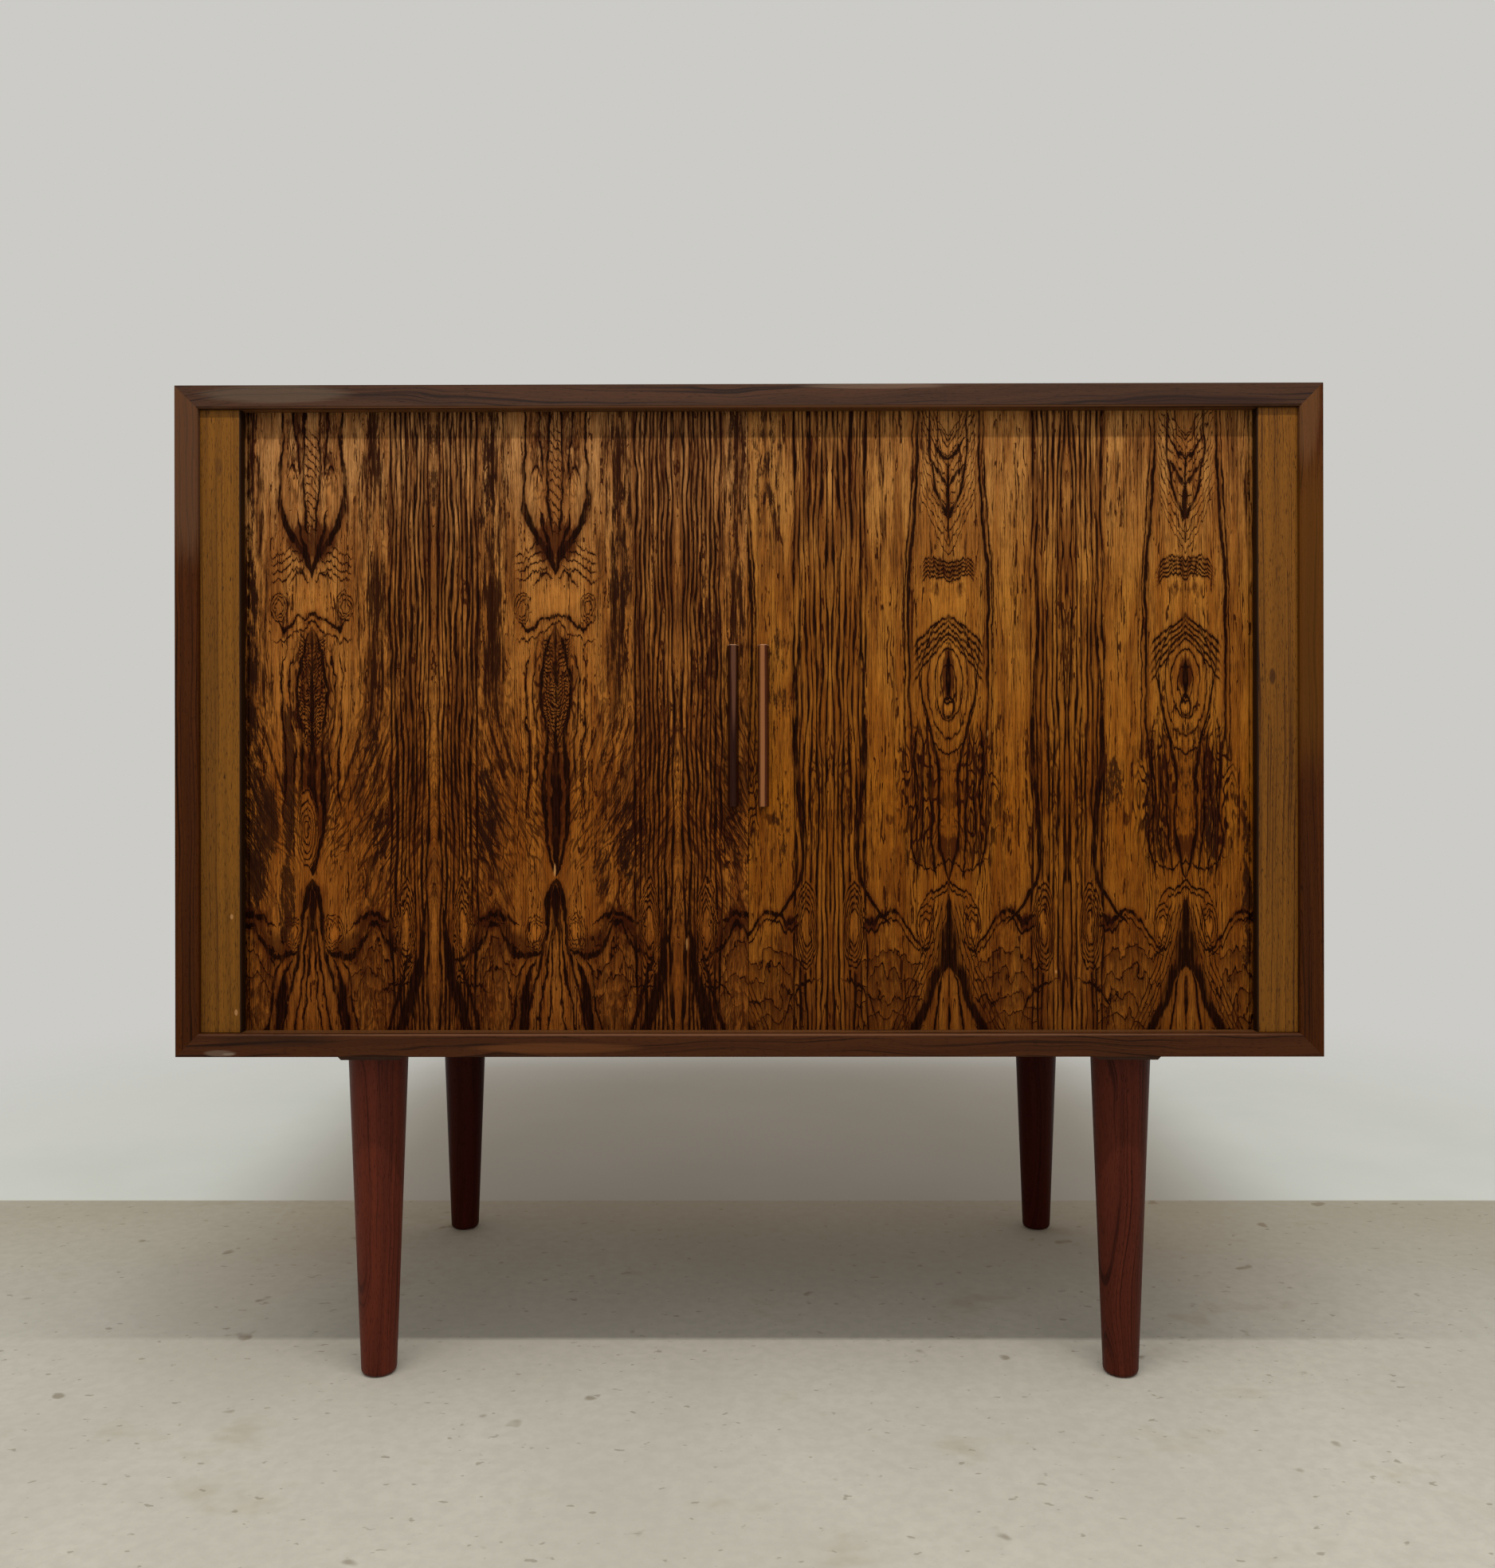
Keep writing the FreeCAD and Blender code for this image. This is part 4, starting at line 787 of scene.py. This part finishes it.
    leaf.set(base_color=colour, roughness=0.4 + (dash - 0.5) * 0.2, specular_ior_level=0.02)
    leaf.bump(1 - pore, 0.00005, 0.35)
    print(name, "has", len(leaf.tree.nodes), "nodes")
    return leaf.material


door_finish = {name: door_veneer(name + "_door_veneer", door) for name, door in DOORS.items()}

# %% [markdown]
# ## Geometry that repeats
#
# Slats, screws and pins are one shape many times. A Geometry Nodes tree places and joins
# them, and its sizes are named inputs. A helper sets them on a modifier, evaluates the
# object, keeps the plain mesh, and takes the modifier off again.

# %% Growing a mesh from a tree
class Growth(Tree):
    """A Geometry Nodes tree with named inputs: plain sizes, then those of another kind, then the finish."""

    def __init__(self, name, sizes, **others):
        super().__init__(bpy.data.node_groups.new(name, "GeometryNodeTree"))
        sockets = self.tree.interface.new_socket
        for way in ("INPUT", "OUTPUT"):
            sockets("Geometry", in_out=way, socket_type="NodeSocketGeometry")
        kinds = {**dict.fromkeys(sizes.split(), "Float"), **others, "Finish": "Material"}
        self.sockets = {label: sockets(label, in_out="INPUT", socket_type="NodeSocket" + kind)
                        for label, kind in kinds.items()}
        self.start = self.tree.nodes.new("NodeGroupInput")
        self.end = self.tree.nodes.new("NodeGroupOutput")

    def sizes(self, *labels):
        return [Wire(self, self.start.outputs[label]) for label in labels]

    def geo(self, kind, inputs=None, **settings):
        """A node that works on geometry."""
        return self.add("GeometryNode" + kind, settings, inputs)

    def store(self, geometry, name, value, kind="FLOAT"):
        inputs = {0: geometry, 2: name, 3: value}
        return self.geo("StoreNamedAttribute", inputs, data_type=kind, domain="POINT")

    def stored(self, name):
        return self.geo("InputNamedAttribute", {0: name}, data_type="FLOAT")

    def position(self):
        return self.parts(self.geo("InputPosition"))

    def moved(self, geometry, *offset):
        return self.geo("Transform", {0: geometry, 1: self.join(*offset)})

    def both(self, first, second):
        joined = self.geo("JoinGeometry", {0: first})
        self.tree.links.new(second.socket, joined.socket.node.inputs[0])
        return joined

    def random(self, low, high):
        """A number for each place, drawn with the tree's own seed."""
        seed, = self.sizes("Seed")
        return self.add("FunctionNodeRandomValue", {"data_type": "FLOAT"}, {2: low, 3: high, 8: seed})

    def upright(self, length, count):
        """A line up from the origin, with that many points on it."""
        line = self.geo("CurvePrimitiveLine", {0: (0, 0, 0), 1: self.join(0, 0, length)}, mode="POINTS")
        return self.geo("ResampleCurve", {0: line, 2: count}, mode="COUNT")

    def sweep(self, line, sides):
        """A round skin on a line, with the radius that is stored on it as ring."""
        circle = self.geo("CurvePrimitiveCircle", {0: sides, 4: 1.0}, mode="RADIUS")
        return self.geo("CurveToMesh", {0: line, 1: circle, 2: self.stored("ring"), 3: True})

    def outward(self):
        facing, = self.sizes("Facing")
        return self.add("FunctionNodeAlignRotationToVector", {"axis": "Z"}, {2: facing})

    def on_places(self, thing, rotation):
        """The thing, turned, on each place that grow is given."""
        places, = self.sizes("Geometry")
        return self.geo("InstanceOnPoints", {0: places, 2: thing, 5: rotation})

    def close(self, geometry, smooth=False):
        """Ends the tree: real geometry, with its finish."""
        real = self.geo("RealizeInstances", {0: geometry})
        shaded = self.geo("SetShadeSmooth", {0: real, 2: smooth})
        done = self.geo("SetMaterial", {0: shaded, 2: self.sizes("Finish")[0]})
        self.tree.links.new(done.socket, self.end.inputs[0])
        print(self.tree.name, "tree:", len(self.tree.nodes), "nodes")

    def grow(self, name, places=(), **values):
        """A plain mesh object made by this tree."""
        seeds = bpy.data.meshes.new(name + "_places")
        seeds.from_pydata([tuple(p) for p in places], [], [])
        thing = stand(name, seeds)
        modifier = thing.modifiers.new("growth", "NODES")
        modifier.node_group = self.tree
        for label, value in values.items():
            modifier[self.sockets[label].identifier] = value
        thing.update_tag()
        bpy.context.view_layer.update()
        graph = bpy.context.evaluated_depsgraph_get()
        mesh = bpy.data.meshes.new_from_object(thing.evaluated_get(graph), depsgraph=graph)
        thing.modifiers.remove(modifier)
        mesh.name = name
        thing.data = mesh
        bpy.data.meshes.remove(seeds)
        return thing


def settle(piece, body, slot, *nodes):
    """The piece rides on a body and stands for those sub-parts, which are hidden. The slot is not used."""
    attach(piece, body)
    if nodes:
        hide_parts(*nodes)
    return piece


print("growth ready")

# %% [markdown]
# ### The slats
#
# A slat is a little narrower than the pitch, with its arrises just broken so that the joint
# reads as a hairline. On the straight stretch each slat sits a pitch from the last, and in
# the bend it goes round the arc's centre and turns with it. The tree works both out from the
# distance along the path, so it makes the long run and every slat that turns the corner.

# %% Slat tree
SLAT_TWIST = 0.0022     # radians, either way
slat_tree = g = Growth(
    "tambour_slats", "Pitch Width Thickness Height Arris First Straight Radius Side Back Foot",
    Count="Int", Seed="Int")
pitch, width, thick, high, arris, first = g.sizes("Pitch", "Width", "Thickness", "Height", "Arris", "First")
straight, radius, hand, back, foot, count = g.sizes("Straight", "Radius", "Side", "Back", "Foot", "Count")
along = first + pitch * g.geo("InputIndex")
turned = (along - straight).most(0) / radius
spot = g.join(hand * (along.least(straight) + radius * turned.sine()),
              back + radius * (1 - turned.cosine()), foot)
row = g.store(g.geo("MeshLine", {0: count}), "along", along)
row = g.geo("SetPosition", {0: g.store(row, "turned", turned * hand), 2: spot})

section = g.geo("CurvePrimitiveQuadrilateral", {0: width, 1: thick})
section = g.geo("FilletCurve", {0: section, 1: 2, 2: arris}, mode="POLY")
end_face = g.geo("FillCurve", {0: section}, mode="NGONS")
body = g.geo("ExtrudeMesh", {0: end_face, 2: g.join(0, 0, 1), 3: high, 4: False}, mode="FACES")
whole = g.geo("MergeByDistance", {0: g.both(body, g.geo("FlipFaces", {0: end_face})), 2: 0.00001})
whole = g.store(g.moved(whole, 0, thick * -0.5, 0), "beside", g.position()[0])

spin = g.stored("turned") + g.random(-SLAT_TWIST, SLAT_TWIST)
facing = g.add("FunctionNodeEulerToRotation", {}, {0: g.join(0, 0, spin)})
slats = g.geo("RealizeInstances", {0: g.geo("InstanceOnPoints", {0: row, 2: whole, 5: facing})})
place_on_path = g.stored("along") + hand * g.stored("beside")
below_top = foot + high - g.position()[2]
g.close(g.store(slats, "figure", g.join(place_on_path, below_top, 0.0), "FLOAT_VECTOR"))

# %% [markdown]
# The long run of a door is one object. Five slats at its leading end lie in the bend when the
# door is open, and five at its tail when it is shut. Each of those is an object of its own,
# because it rides on a body that turns by itself.

# %% Slats of both doors
def slat_run(name, side_name, side, first, count, seed):
    return slat_tree.grow(
        name, Pitch=SLAT_PITCH, Width=SLAT_WIDE, Thickness=SLAT_THICK, Height=slat_top - slat_bottom,
        Arris=SLAT_ARRIS, First=first, Count=count, Straight=straight_end, Radius=BEND_RADIUS,
        Side=float(side), Back=slat_back, Foot=slat_bottom, Seed=seed, Finish=door_finish[side_name])


for side_name, side in SIDES:
    door = side_name + "_door_"
    run = slat_run(door + "slats", side_name, side, main_start + SLAT_PITCH / 2, main_slats, 5)
    settle(run, door + "curtain", "door_veneer", door + "tambour_slats")
    for lot, number, start in SINGLE_SLATS:
        middle = start + (number - 0.5) * SLAT_PITCH
        one = slat_run("%s%s_wood_%d" % (door, lot, number), side_name, side, middle, 1, number)
        settle(one, "%s%s_%d" % (door, lot, number), "door_veneer", "%s%s_slat_%d" % (door, lot, number))
print("slats per door:", main_slats + 2 * SLATS_IN_BEND, "faces in the long run:", len(run.data.polygons))

# %% [markdown]
# ### The canvas
#
# Real tambour slats are glued side by side on a cloth that bends where they meet. The cloth
# is one strip from the leading stile to the end of the tail. It dips a little into each joint.
# The same path as for the slats places it, a strip for each body that moves on its own.

# %% Canvas strips
CLOTH_THICK = 0.6 * MM
CLOTH_DIP = 0.05 * MM
CLOTH_BEHIND = 0.13 * MM
FRONT_GAP, BACK_GAP = 0.01 * MM, 0.15 * MM     # to the next strip, which has to turn in
STEPS_PER_SLAT, ROWS = 6, 24
canvas_bottom, canvas_top = (corner[2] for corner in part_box("right_door_tambour_canvas"))


def on_path(side, distance, behind):
    """X and Y of a place on the curtain's path, that far behind the backs of the slats."""
    turn = max(distance - straight_end, 0) / BEND_RADIUS
    inward = BEND_RADIUS - behind
    x = min(distance, straight_end) + inward * math.sin(turn)
    return side * x, slat_back + BEND_RADIUS - inward * math.cos(turn)


def write_figure(mesh, places):
    """Writes on each vertex how far it is along the curtain, and below its top."""
    numbers = [v for along, below in places for v in (along, below, 0.0)]
    mesh.attributes.new("figure", "FLOAT_VECTOR", "POINT").data.foreach_set("vector", numbers)


def canvas_strip(name, side, first, slats, body):
    """Cloth glued behind a number of slats."""
    verts, faces, figure = [], [], []
    steps = slats * STEPS_PER_SLAT
    for skin, gap in ((0.0, FRONT_GAP), (CLOTH_THICK, BACK_GAP)):
        ends = {0: gap, steps: -gap}
        for i in range(steps + 1):
            distance = first + slats * SLAT_PITCH * i / steps
            depth = CLOTH_BEHIND - CLOTH_DIP * (1 + math.cos(2 * math.pi * i / STEPS_PER_SLAT))
            x, y = on_path(side, distance + ends.get(i, 0.0), depth + skin)
            for j in range(ROWS + 1):
                z = canvas_bottom + (canvas_top - canvas_bottom) * j / ROWS
                verts.append((x, y, z))
                figure.append((distance, slat_top - z))

    def face(*corners):
        faces.append([(skin * (steps + 1) + i) * (ROWS + 1) + j for skin, i, j in corners])

    for i in range(steps):
        for j in range(ROWS):
            for skin in (0, 1):
                face((skin, i, j), (skin, i + 1, j), (skin, i + 1, j + 1), (skin, i, j + 1))
        face((0, i, 0), (0, i + 1, 0), (1, i + 1, 0), (1, i, 0))
        face((1, i, ROWS), (1, i + 1, ROWS), (0, i + 1, ROWS), (0, i, ROWS))
    for j in range(ROWS):
        for i in (0, steps):
            face((0, i, j), (0, i, j + 1), (1, i, j + 1), (1, i, j))
    mesh = bpy.data.meshes.new(name)
    mesh.from_pydata(verts, [], faces)
    shape = bmesh.new()
    shape.from_mesh(mesh)
    bmesh.ops.recalc_face_normals(shape, faces=shape.faces)
    shape.to_mesh(mesh)
    shape.free()
    write_figure(mesh, figure)
    mesh.materials.append(canvas_cloth)
    return settle(stand(name, mesh), body, "door_canvas")


for side_name, side in SIDES:
    door = side_name + "_door_"
    small = [canvas_strip("%s%s_cloth_%d" % (door, lot, number), side, start + (number - 1) * SLAT_PITCH, 1,
                          "%s%s_%d" % (door, lot, number)) for lot, number, start in SINGLE_SLATS]
    cloth = canvas_strip(door + "canvas", side, main_start, main_slats, door + "curtain")
    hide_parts(door + "tambour_canvas")
print("canvas", round(main_slats * SLAT_PITCH / MM), "by", round((canvas_top - canvas_bottom) / MM),
      "mm on each long run")

# %% [markdown]
# ## Joinery
#
# The case, the strips at the ends of the doors and the stiles are plain boards, so the solid
# model already has their shape. What it lacks is the touch of sandpaper: a real arris is
# broken by a few tenths of a millimetre, and that thin facet is what catches the light. The
# board's mesh is copied, its loose triangles are merged, and only the long outer arrises,
# where two faces of its box meet, are rounded.

# %% Boards with broken arrises
WELD, ON_THE_BOX = 0.000002, 0.00002
FLAT, SHARP = math.radians(0.5), math.radians(25)


def welded(node):
    """The mesh of a sub-part with its loose triangles merged."""
    shape = bmesh.new()
    shape.from_mesh(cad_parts[node].data)
    bmesh.ops.remove_doubles(shape, verts=shape.verts, dist=WELD)
    return shape


def board(name, node, body, slot, finish, ease):
    """A copy of a sub-part with its outer arrises rounded by that many millimetres."""
    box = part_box(node)
    shape = welded(node)
    bmesh.ops.dissolve_limit(shape, angle_limit=FLAT, verts=shape.verts, edges=shape.edges)

    def sides(vert):
        return {(axis, end) for axis in range(3) for end in (0, 1)
                if abs(vert.co[axis] - box[end][axis]) < ON_THE_BOX}

    arrises = [e for e in shape.edges if len(e.link_faces) == 2 and e.calc_face_angle(0) > SHARP
               and len(sides(e.verts[0]) & sides(e.verts[1])) >= 2]
    bmesh.ops.bevel(shape, geom=arrises, offset=ease * MM, offset_type="OFFSET", segments=2, profile=0.5,
                    affect="EDGES", clamp_overlap=True)
    mesh = bpy.data.meshes.new(name)
    shape.to_mesh(mesh)
    shape.free()
    mesh.materials.append(finish)
    return settle(stand(name, mesh), body, slot, node)


BOARDS = (
    ("top_edge_band", "top_lipping", "edge_band", "edge_band_level", 0.35),
    ("bottom_edge_band", "bottom_lipping", "edge_band", "edge_band_foot", 0.35),
    ("left_edge_band", "left_lipping", "edge_band", "edge_band_upright", 0.35),
    ("right_edge_band", "right_lipping", "edge_band", "edge_band_upright", 0.35),
    ("left_end_strip", "left_pilaster", "pilaster_wood", "pilaster_wood_left", 0.5),
    ("right_end_strip", "right_pilaster", "pilaster_wood", "pilaster_wood_right", 0.5),
    ("left_case_side", "left_side_panel", "case_veneer", "case_veneer_upright", 0.3),
    ("right_case_side", "right_side_panel", "case_veneer", "case_veneer_upright", 0.3),
    ("case_top", "top_panel", "case_veneer", "case_veneer_level", 0.3),
    ("case_bottom", "bottom_panel", "case_veneer", "case_veneer_level", 0.3),
)
boards = [board(name, node, "case", slot, wood[finish], ease) for name, node, slot, finish, ease in BOARDS]
print("boards:", len(boards), "faces:", sum(len(b.data.polygons) for b in boards))

# %% [markdown]
# The leading stile of each door is a wider slat, and the figure runs on over it. It needs the
# same two numbers as the slats, so they are written on its vertices after the arrises are cut.

# %% Leading stiles
for side_name, side in SIDES:
    door = side_name + "_door_"
    stile = board(door + "leading_stile", door + "stile", door + "lead", "door_veneer",
                  door_finish[side_name], 0.3)
    write_figure(stile.data, [(abs(vert.co.x), slat_top - vert.co.z) for vert in stile.data.vertices])
print("stiles:", len(stile.data.vertices), "vertices each")

# %% [markdown]
# ### The legs
#
# A leg is turned on a lathe, so its shape follows a rule: an even taper from top to toe, and
# a small quarter round at the toe so that it doesn't splinter. A curve tree sweeps a circle
# along the leg's axis, with the radius from that rule. The rings are packed closer near the
# toe by squaring their count.

# %% Leg tree
LEG_TOE = 14.2 * MM
LEG_ROUND = 4 * MM
LEG_CREASE = math.radians(50)
leg_tree = g = Growth("turned_leg", "Height Top Toe Round", Rings="Int", Sides="Int", Foot="Vector")
full, top, toe, quarter = g.sizes("Height", "Top", "Toe", "Round")
rings_up, sides_round, foot = g.sizes("Rings", "Sides", "Foot")
axis = g.upright(1, rings_up)
share = g.position()[2]
height = share * share * full
taper = toe + (top - toe) * height / full
lack = (quarter - height).most(0)
rounding = quarter - (quarter * quarter - lack * lack).most(0).root()
axis = g.store(axis, "ring", taper - rounding)
axis = g.geo("SetPosition", {0: axis, 2: g.join(0, 0, height) + foot})
g.close(g.sweep(axis, sides_round), smooth=True)

for end_name in ("front", "rear"):
    for side_name, side in SIDES:
        # The back legs take the darker copy of the leg wood, which is painted shade.
        kind = "rear_leg_wood" if end_name == "rear" else "leg_wood_right" if side > 0 else "leg_wood"
        node = "%s_%s_leg" % (end_name, side_name)
        low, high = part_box(node)
        foot = ((low[0] + high[0]) / 2, (low[1] + high[1]) / 2, low[2])
        leg = leg_tree.grow("%s_%s_turned_leg" % (end_name, side_name), Height=high[2] - low[2],
                            Top=(high[0] - low[0]) / 2, Toe=LEG_TOE, Round=LEG_ROUND, Rings=40, Sides=56,
                            Foot=foot, Finish=wood[kind])
        leg.data.set_sharp_from_angle(angle=LEG_CREASE)
        settle(leg, "case", "leg_wood", node)
print("leg:", round((high[2] - low[2]) / MM), "mm high,", len(leg.data.polygons), "faces")

# %% [markdown]
# ### Screws and pins
#
# A screw head is a shallow cone with a slot cut across it, and no two slots end up at the
# same angle. The tree makes it once, puts it where each screw of the solid model is, and
# spins it by a random amount with a fixed seed. In the solid model each screw is an island
# of its own, which is how its place is found.

# %% Where the screws are
def islands(node):
    """Lowest and highest corner of each separate piece of a sub-part."""
    shape = welded(node)
    left_over, found = set(shape.verts), []
    while left_over:
        start = left_over.pop()
        group, queue = [start], [start]
        while queue:
            for edge in queue.pop().link_edges:
                for vert in edge.verts:
                    if vert in left_over:
                        left_over.discard(vert)
                        group.append(vert)
                        queue.append(vert)
        found.append([[pick(v.co[a] for v in group) for a in range(3)] for pick in (min, max)])
    shape.free()
    return sorted(found)


screw_tree = g = Growth("slotted_screws", "Head Shank Length Slot Depth", Facing="Vector", Seed="Int")
head, shank, length, slot, depth = g.sizes("Head", "Shank", "Length", "Slot", "Depth")
HEAD_SIDES, STEM_SIDES, MOST_SPIN = 20, 12, 3.1
countersink = head - shank
cone = g.moved(g.geo("MeshCone", {0: HEAD_SIDES, 3: head, 4: shank, 5: countersink}), 0, 0, countersink * -1)
cutter = g.geo("MeshCube", {0: g.join(head * 2.4, slot, depth * 2)})
top = g.geo("MeshBoolean", {0: cone, 1: cutter}, operation="DIFFERENCE", solver="EXACT")
stem = g.geo("MeshCylinder", {0: STEM_SIDES, 3: shank, 4: length - countersink})
screw = g.both(top, g.moved(stem, 0, 0, (length + countersink) * -0.5))
turn = g.add("FunctionNodeAxisAngleToRotation", {}, {0: (0, 0, 1), 1: g.random(0.0, MOST_SPIN)})
pose = g.add("FunctionNodeRotateRotation", {"rotation_space": "LOCAL"}, {0: g.outward(), 1: turn})
g.close(g.on_places(screw, pose))


def screws(name, node, body, facing, head, shank, length, seed):
    """Slotted screws, in millimetres, in the places of a sub-part's own, facing out along one axis."""
    axis = [abs(v) for v in facing].index(1)
    places = []
    for low, high in islands(node):
        middle = [(a + b) / 2 for a, b in zip(low, high)]
        middle[axis] = high[axis] if facing[axis] > 0 else low[axis]
        places.append(middle)
    head *= MM
    thing = screw_tree.grow(name, places, Head=head, Shank=shank * MM, Length=length * MM, Slot=0.22 * head,
                            Depth=0.2 * head, Facing=facing, Seed=seed, Finish=screw_steel)
    settle(thing, body, "screw_steel", node)
    print(name, len(places), "screws")


screws("back_panel_screws", "back_screws", "case", (0, 1, 0), 4, 2, 25, 3)
screws("leg_rail_screws", "rail_screws", "case", (0, 0, -1), 4, 2, 20, 4)
for side_name, side in SIDES:
    door = side_name + "_door_"
    screws(door + "pull_screws", door + "handle_screws", door + "lead", (0, 1, 0), 3, 1.5, 14, 5)

# %% [markdown]
# The shelf pins are small turned pegs: a shaft with rounded ends, and a thin collar that
# stops against the wooden panel. The same kind of tree as for the legs, with a circle swept
# along a short line, keeps them alike and easy to resize.

# %% Shelf pins
PIN_RADIUS = 2.5 * MM
PIN_RINGS, PIN_SIDES, COLLAR_SIDES = 33, 20, 24
COLLAR_OUT, COLLAR_THICK, COLLAR_AT = 1.1 * MM, 0.7 * MM, 8.55 * MM
pin_tree = g = Growth("shelf_pins", "Radius Length Collar", Facing="Vector")
radius, length, stop = g.sizes("Radius", "Length", "Collar")
share = g.position()[2] / length
near_end = (share - 0.9).most(0.1 - share).most(0) * 10
shaft = g.store(g.upright(length, PIN_RINGS), "ring", radius * (1 - near_end * near_end * 0.45))
collar = g.geo("MeshCylinder", {0: COLLAR_SIDES, 3: radius + COLLAR_OUT, 4: COLLAR_THICK})
pin = g.both(g.sweep(shaft, PIN_SIDES), g.moved(collar, 0, 0, stop))
g.close(g.on_places(pin, g.outward()))

pins = islands("shelf_pins")
for side_name, side in SIDES:
    mine = [(low, high) for low, high in pins if (low[0] + high[0]) * side > 0]
    places = [((low if side > 0 else high)[0], (low[1] + high[1]) / 2, (low[2] + high[2]) / 2)
              for low, high in mine]
    pegs = pin_tree.grow(side_name + "_shelf_pegs", places, Radius=PIN_RADIUS, Collar=COLLAR_AT,
                         Length=mine[0][1][0] - mine[0][0][0], Facing=(side, 0, 0), Finish=brass_pin)
    settle(pegs, "case", "brass_pin", "shelf_pins")
print("shelf pegs:", len(pins))

# %% [markdown]
# ## Sub-parts that keep their shape
#
# The rest of the solid model is right as it is: the shelf, the inner sides, the back, the
# handles and the hidden tongues, dowels and bolts. Each only needs its finish. The grain of
# every board runs along its length.

# %% Finishes of the rest
own_finish = {
    "back_panel": wood["back_board"], "shelf": wood["inside_wood_level"],
    "left_partition": wood["inside_wood_upright"], "right_partition": wood["inside_wood_upright"],
    "mitre_splines": wood["hidden_wood"], "pilaster_dowels": wood["hidden_wood"], "leg_bolts": screw_steel,
    "left_door_handle": wood["handle_wood_left"], "right_door_handle": wood["handle_wood_right"],
}
slot_finish = {
    "case_veneer": wood["case_veneer_level"], "edge_band": wood["edge_band_level"],
    "pilaster_wood": wood["pilaster_wood_left"], "leg_wood": wood["leg_wood"],
    "screw_steel": screw_steel, "brass_pin": brass_pin, "door_canvas": canvas_cloth,
}
for node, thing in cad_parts.items():
    finish = (own_finish.get(node) or slot_finish.get(thing.material_slots[0].name)
              or door_finish["left" if node.startswith("left") else "right"])
    for material_slot in thing.material_slots:
        material_slot.material = finish
print("sub-parts with a finish:", len(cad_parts),
      "of which shown:", len([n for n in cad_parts.values() if not n.hide_render]))

# %% [markdown]
# ## The room
#
# The cabinet stands on a pale concrete floor. Far out the floor thins away to nothing, so
# that no edge of it shows from any side, and the even pale world takes over as the wall. The
# floor is pale too past a line just behind the back legs. From the front that line is the foot
# of the wall, and no real wall stands in the way when the cabinet is seen from behind.

# %% Floor and world
world = bpy.data.worlds.new("room")
world.use_nodes = True
scene.world = world
air = world.node_tree.nodes["Background"]
air.inputs["Color"].default_value = (*seen(204, 203, 199), 1)
air.inputs["Strength"].default_value = 1.0

WALL_FOOT = (0.2515, 0.2535)    # metres behind the middle, where the pale stretch begins
concrete = Finish("concrete")
spot = concrete.place()
x, y, _ = concrete.parts(spot)


def scattered(wide, high, detail, rough=0.6):
    """Noise with that many grains in a metre to the right and to the back."""
    return concrete.noise(spot * (wide, high, wide), detail, rough)


cloud = scattered(3, 3, 4).fade(0.3, 0.7)
grit = scattered(90, 90, 3).fade(0.3, 0.7)
speck = scattered(26, 26, 2, 0.5).fade(0.70, 0.76)
crumb = scattered(70, 110, 2).fade(0.66, 0.72)
stain = scattered(7, 9, 4, 0.65).fade(0.58, 0.72)
# The last layer, a warmer and darker tint from under the cabinet backwards, is painted shade.
tone = concrete.coat(
    concrete.blend(cloud, seen(188, 184, 172), seen(199, 195, 183)), (grit * 0.4, (176, 172, 160)),
    (stain * 0.3, (158, 140, 108)), (crumb * 0.5, (122, 112, 94)), (speck * 0.6, (118, 104, 84)),
    (y.fade(-0.1, 0.25) * 0.3, (168, 150, 116)))
behind = y.fade(*WALL_FOOT)
tone = concrete.blend(behind, tone, concrete.blend(cloud, seen(224, 227, 220), seen(231, 233, 227)))
# Under and behind the cabinet the floor is darkened further, most of all on the pale stretch: a painted
# shadow of the cabinet.
under = y.fade(-0.35, 0.15) * y.fade(0.85, 1.2, 1, 0) * abs(x).fade(0.40, 0.66, 1, 0)
tone = concrete.coat(tone, (under * (0.38 + 0.24 * behind), (114, 84, 54)))
concrete.set(base_color=tone, roughness=0.85, specular_ior_level=0.1)
far = (x * x + y * y).root().fade(0.75, 1.7)
solid = Wire(concrete, concrete.shader.outputs[0])
clear = concrete.add("ShaderNodeBsdfTransparent")
mixed = concrete.add("ShaderNodeMixShader", {}, {0: far, 1: solid, 2: clear})
concrete.feed(concrete.tree.nodes["Material Output"].inputs["Surface"], mixed)

bpy.ops.mesh.primitive_grid_add(x_subdivisions=4, y_subdivisions=4, size=4)
floor = bpy.context.object
floor.name = "floor"
floor.data.materials.append(concrete.material)
print("floor", floor.dimensions[0], "m wide")

# %% [markdown]
# The photograph shows one long lamp: the overhang of the top throws a narrow, crisp band of
# shade on the doors, and the case throws one straight edge on the floor. Both fit a strip
# light parallel to the front, half a metre in front of it and three quarters above the top.
# A wide, soft one in front stands for the light that the room gives back.

# %% Lamps
def lamp(name, wide, high, place, tilt, tint=(1.0, 1.0, 1.0), power=14):
    light = bpy.data.lights.new(name, "AREA")
    light.shape = "RECTANGLE"
    light.size, light.size_y = wide, high
    light.energy, light.color = power, tint
    stood = stand(name, light)
    stood.location, stood.rotation_euler = place, (math.radians(tilt), 0, 0)
    stood.visible_camera = False
    print(name, power, "W")


lamp("strip_lamp", 1.9, 0.035, (0.0, -0.769, 1.54), 12, (1.0, 0.985, 0.95))
lamp("wide_lamp", 3.0, 2.0, (0.0, -2.6, 1.5), 68)
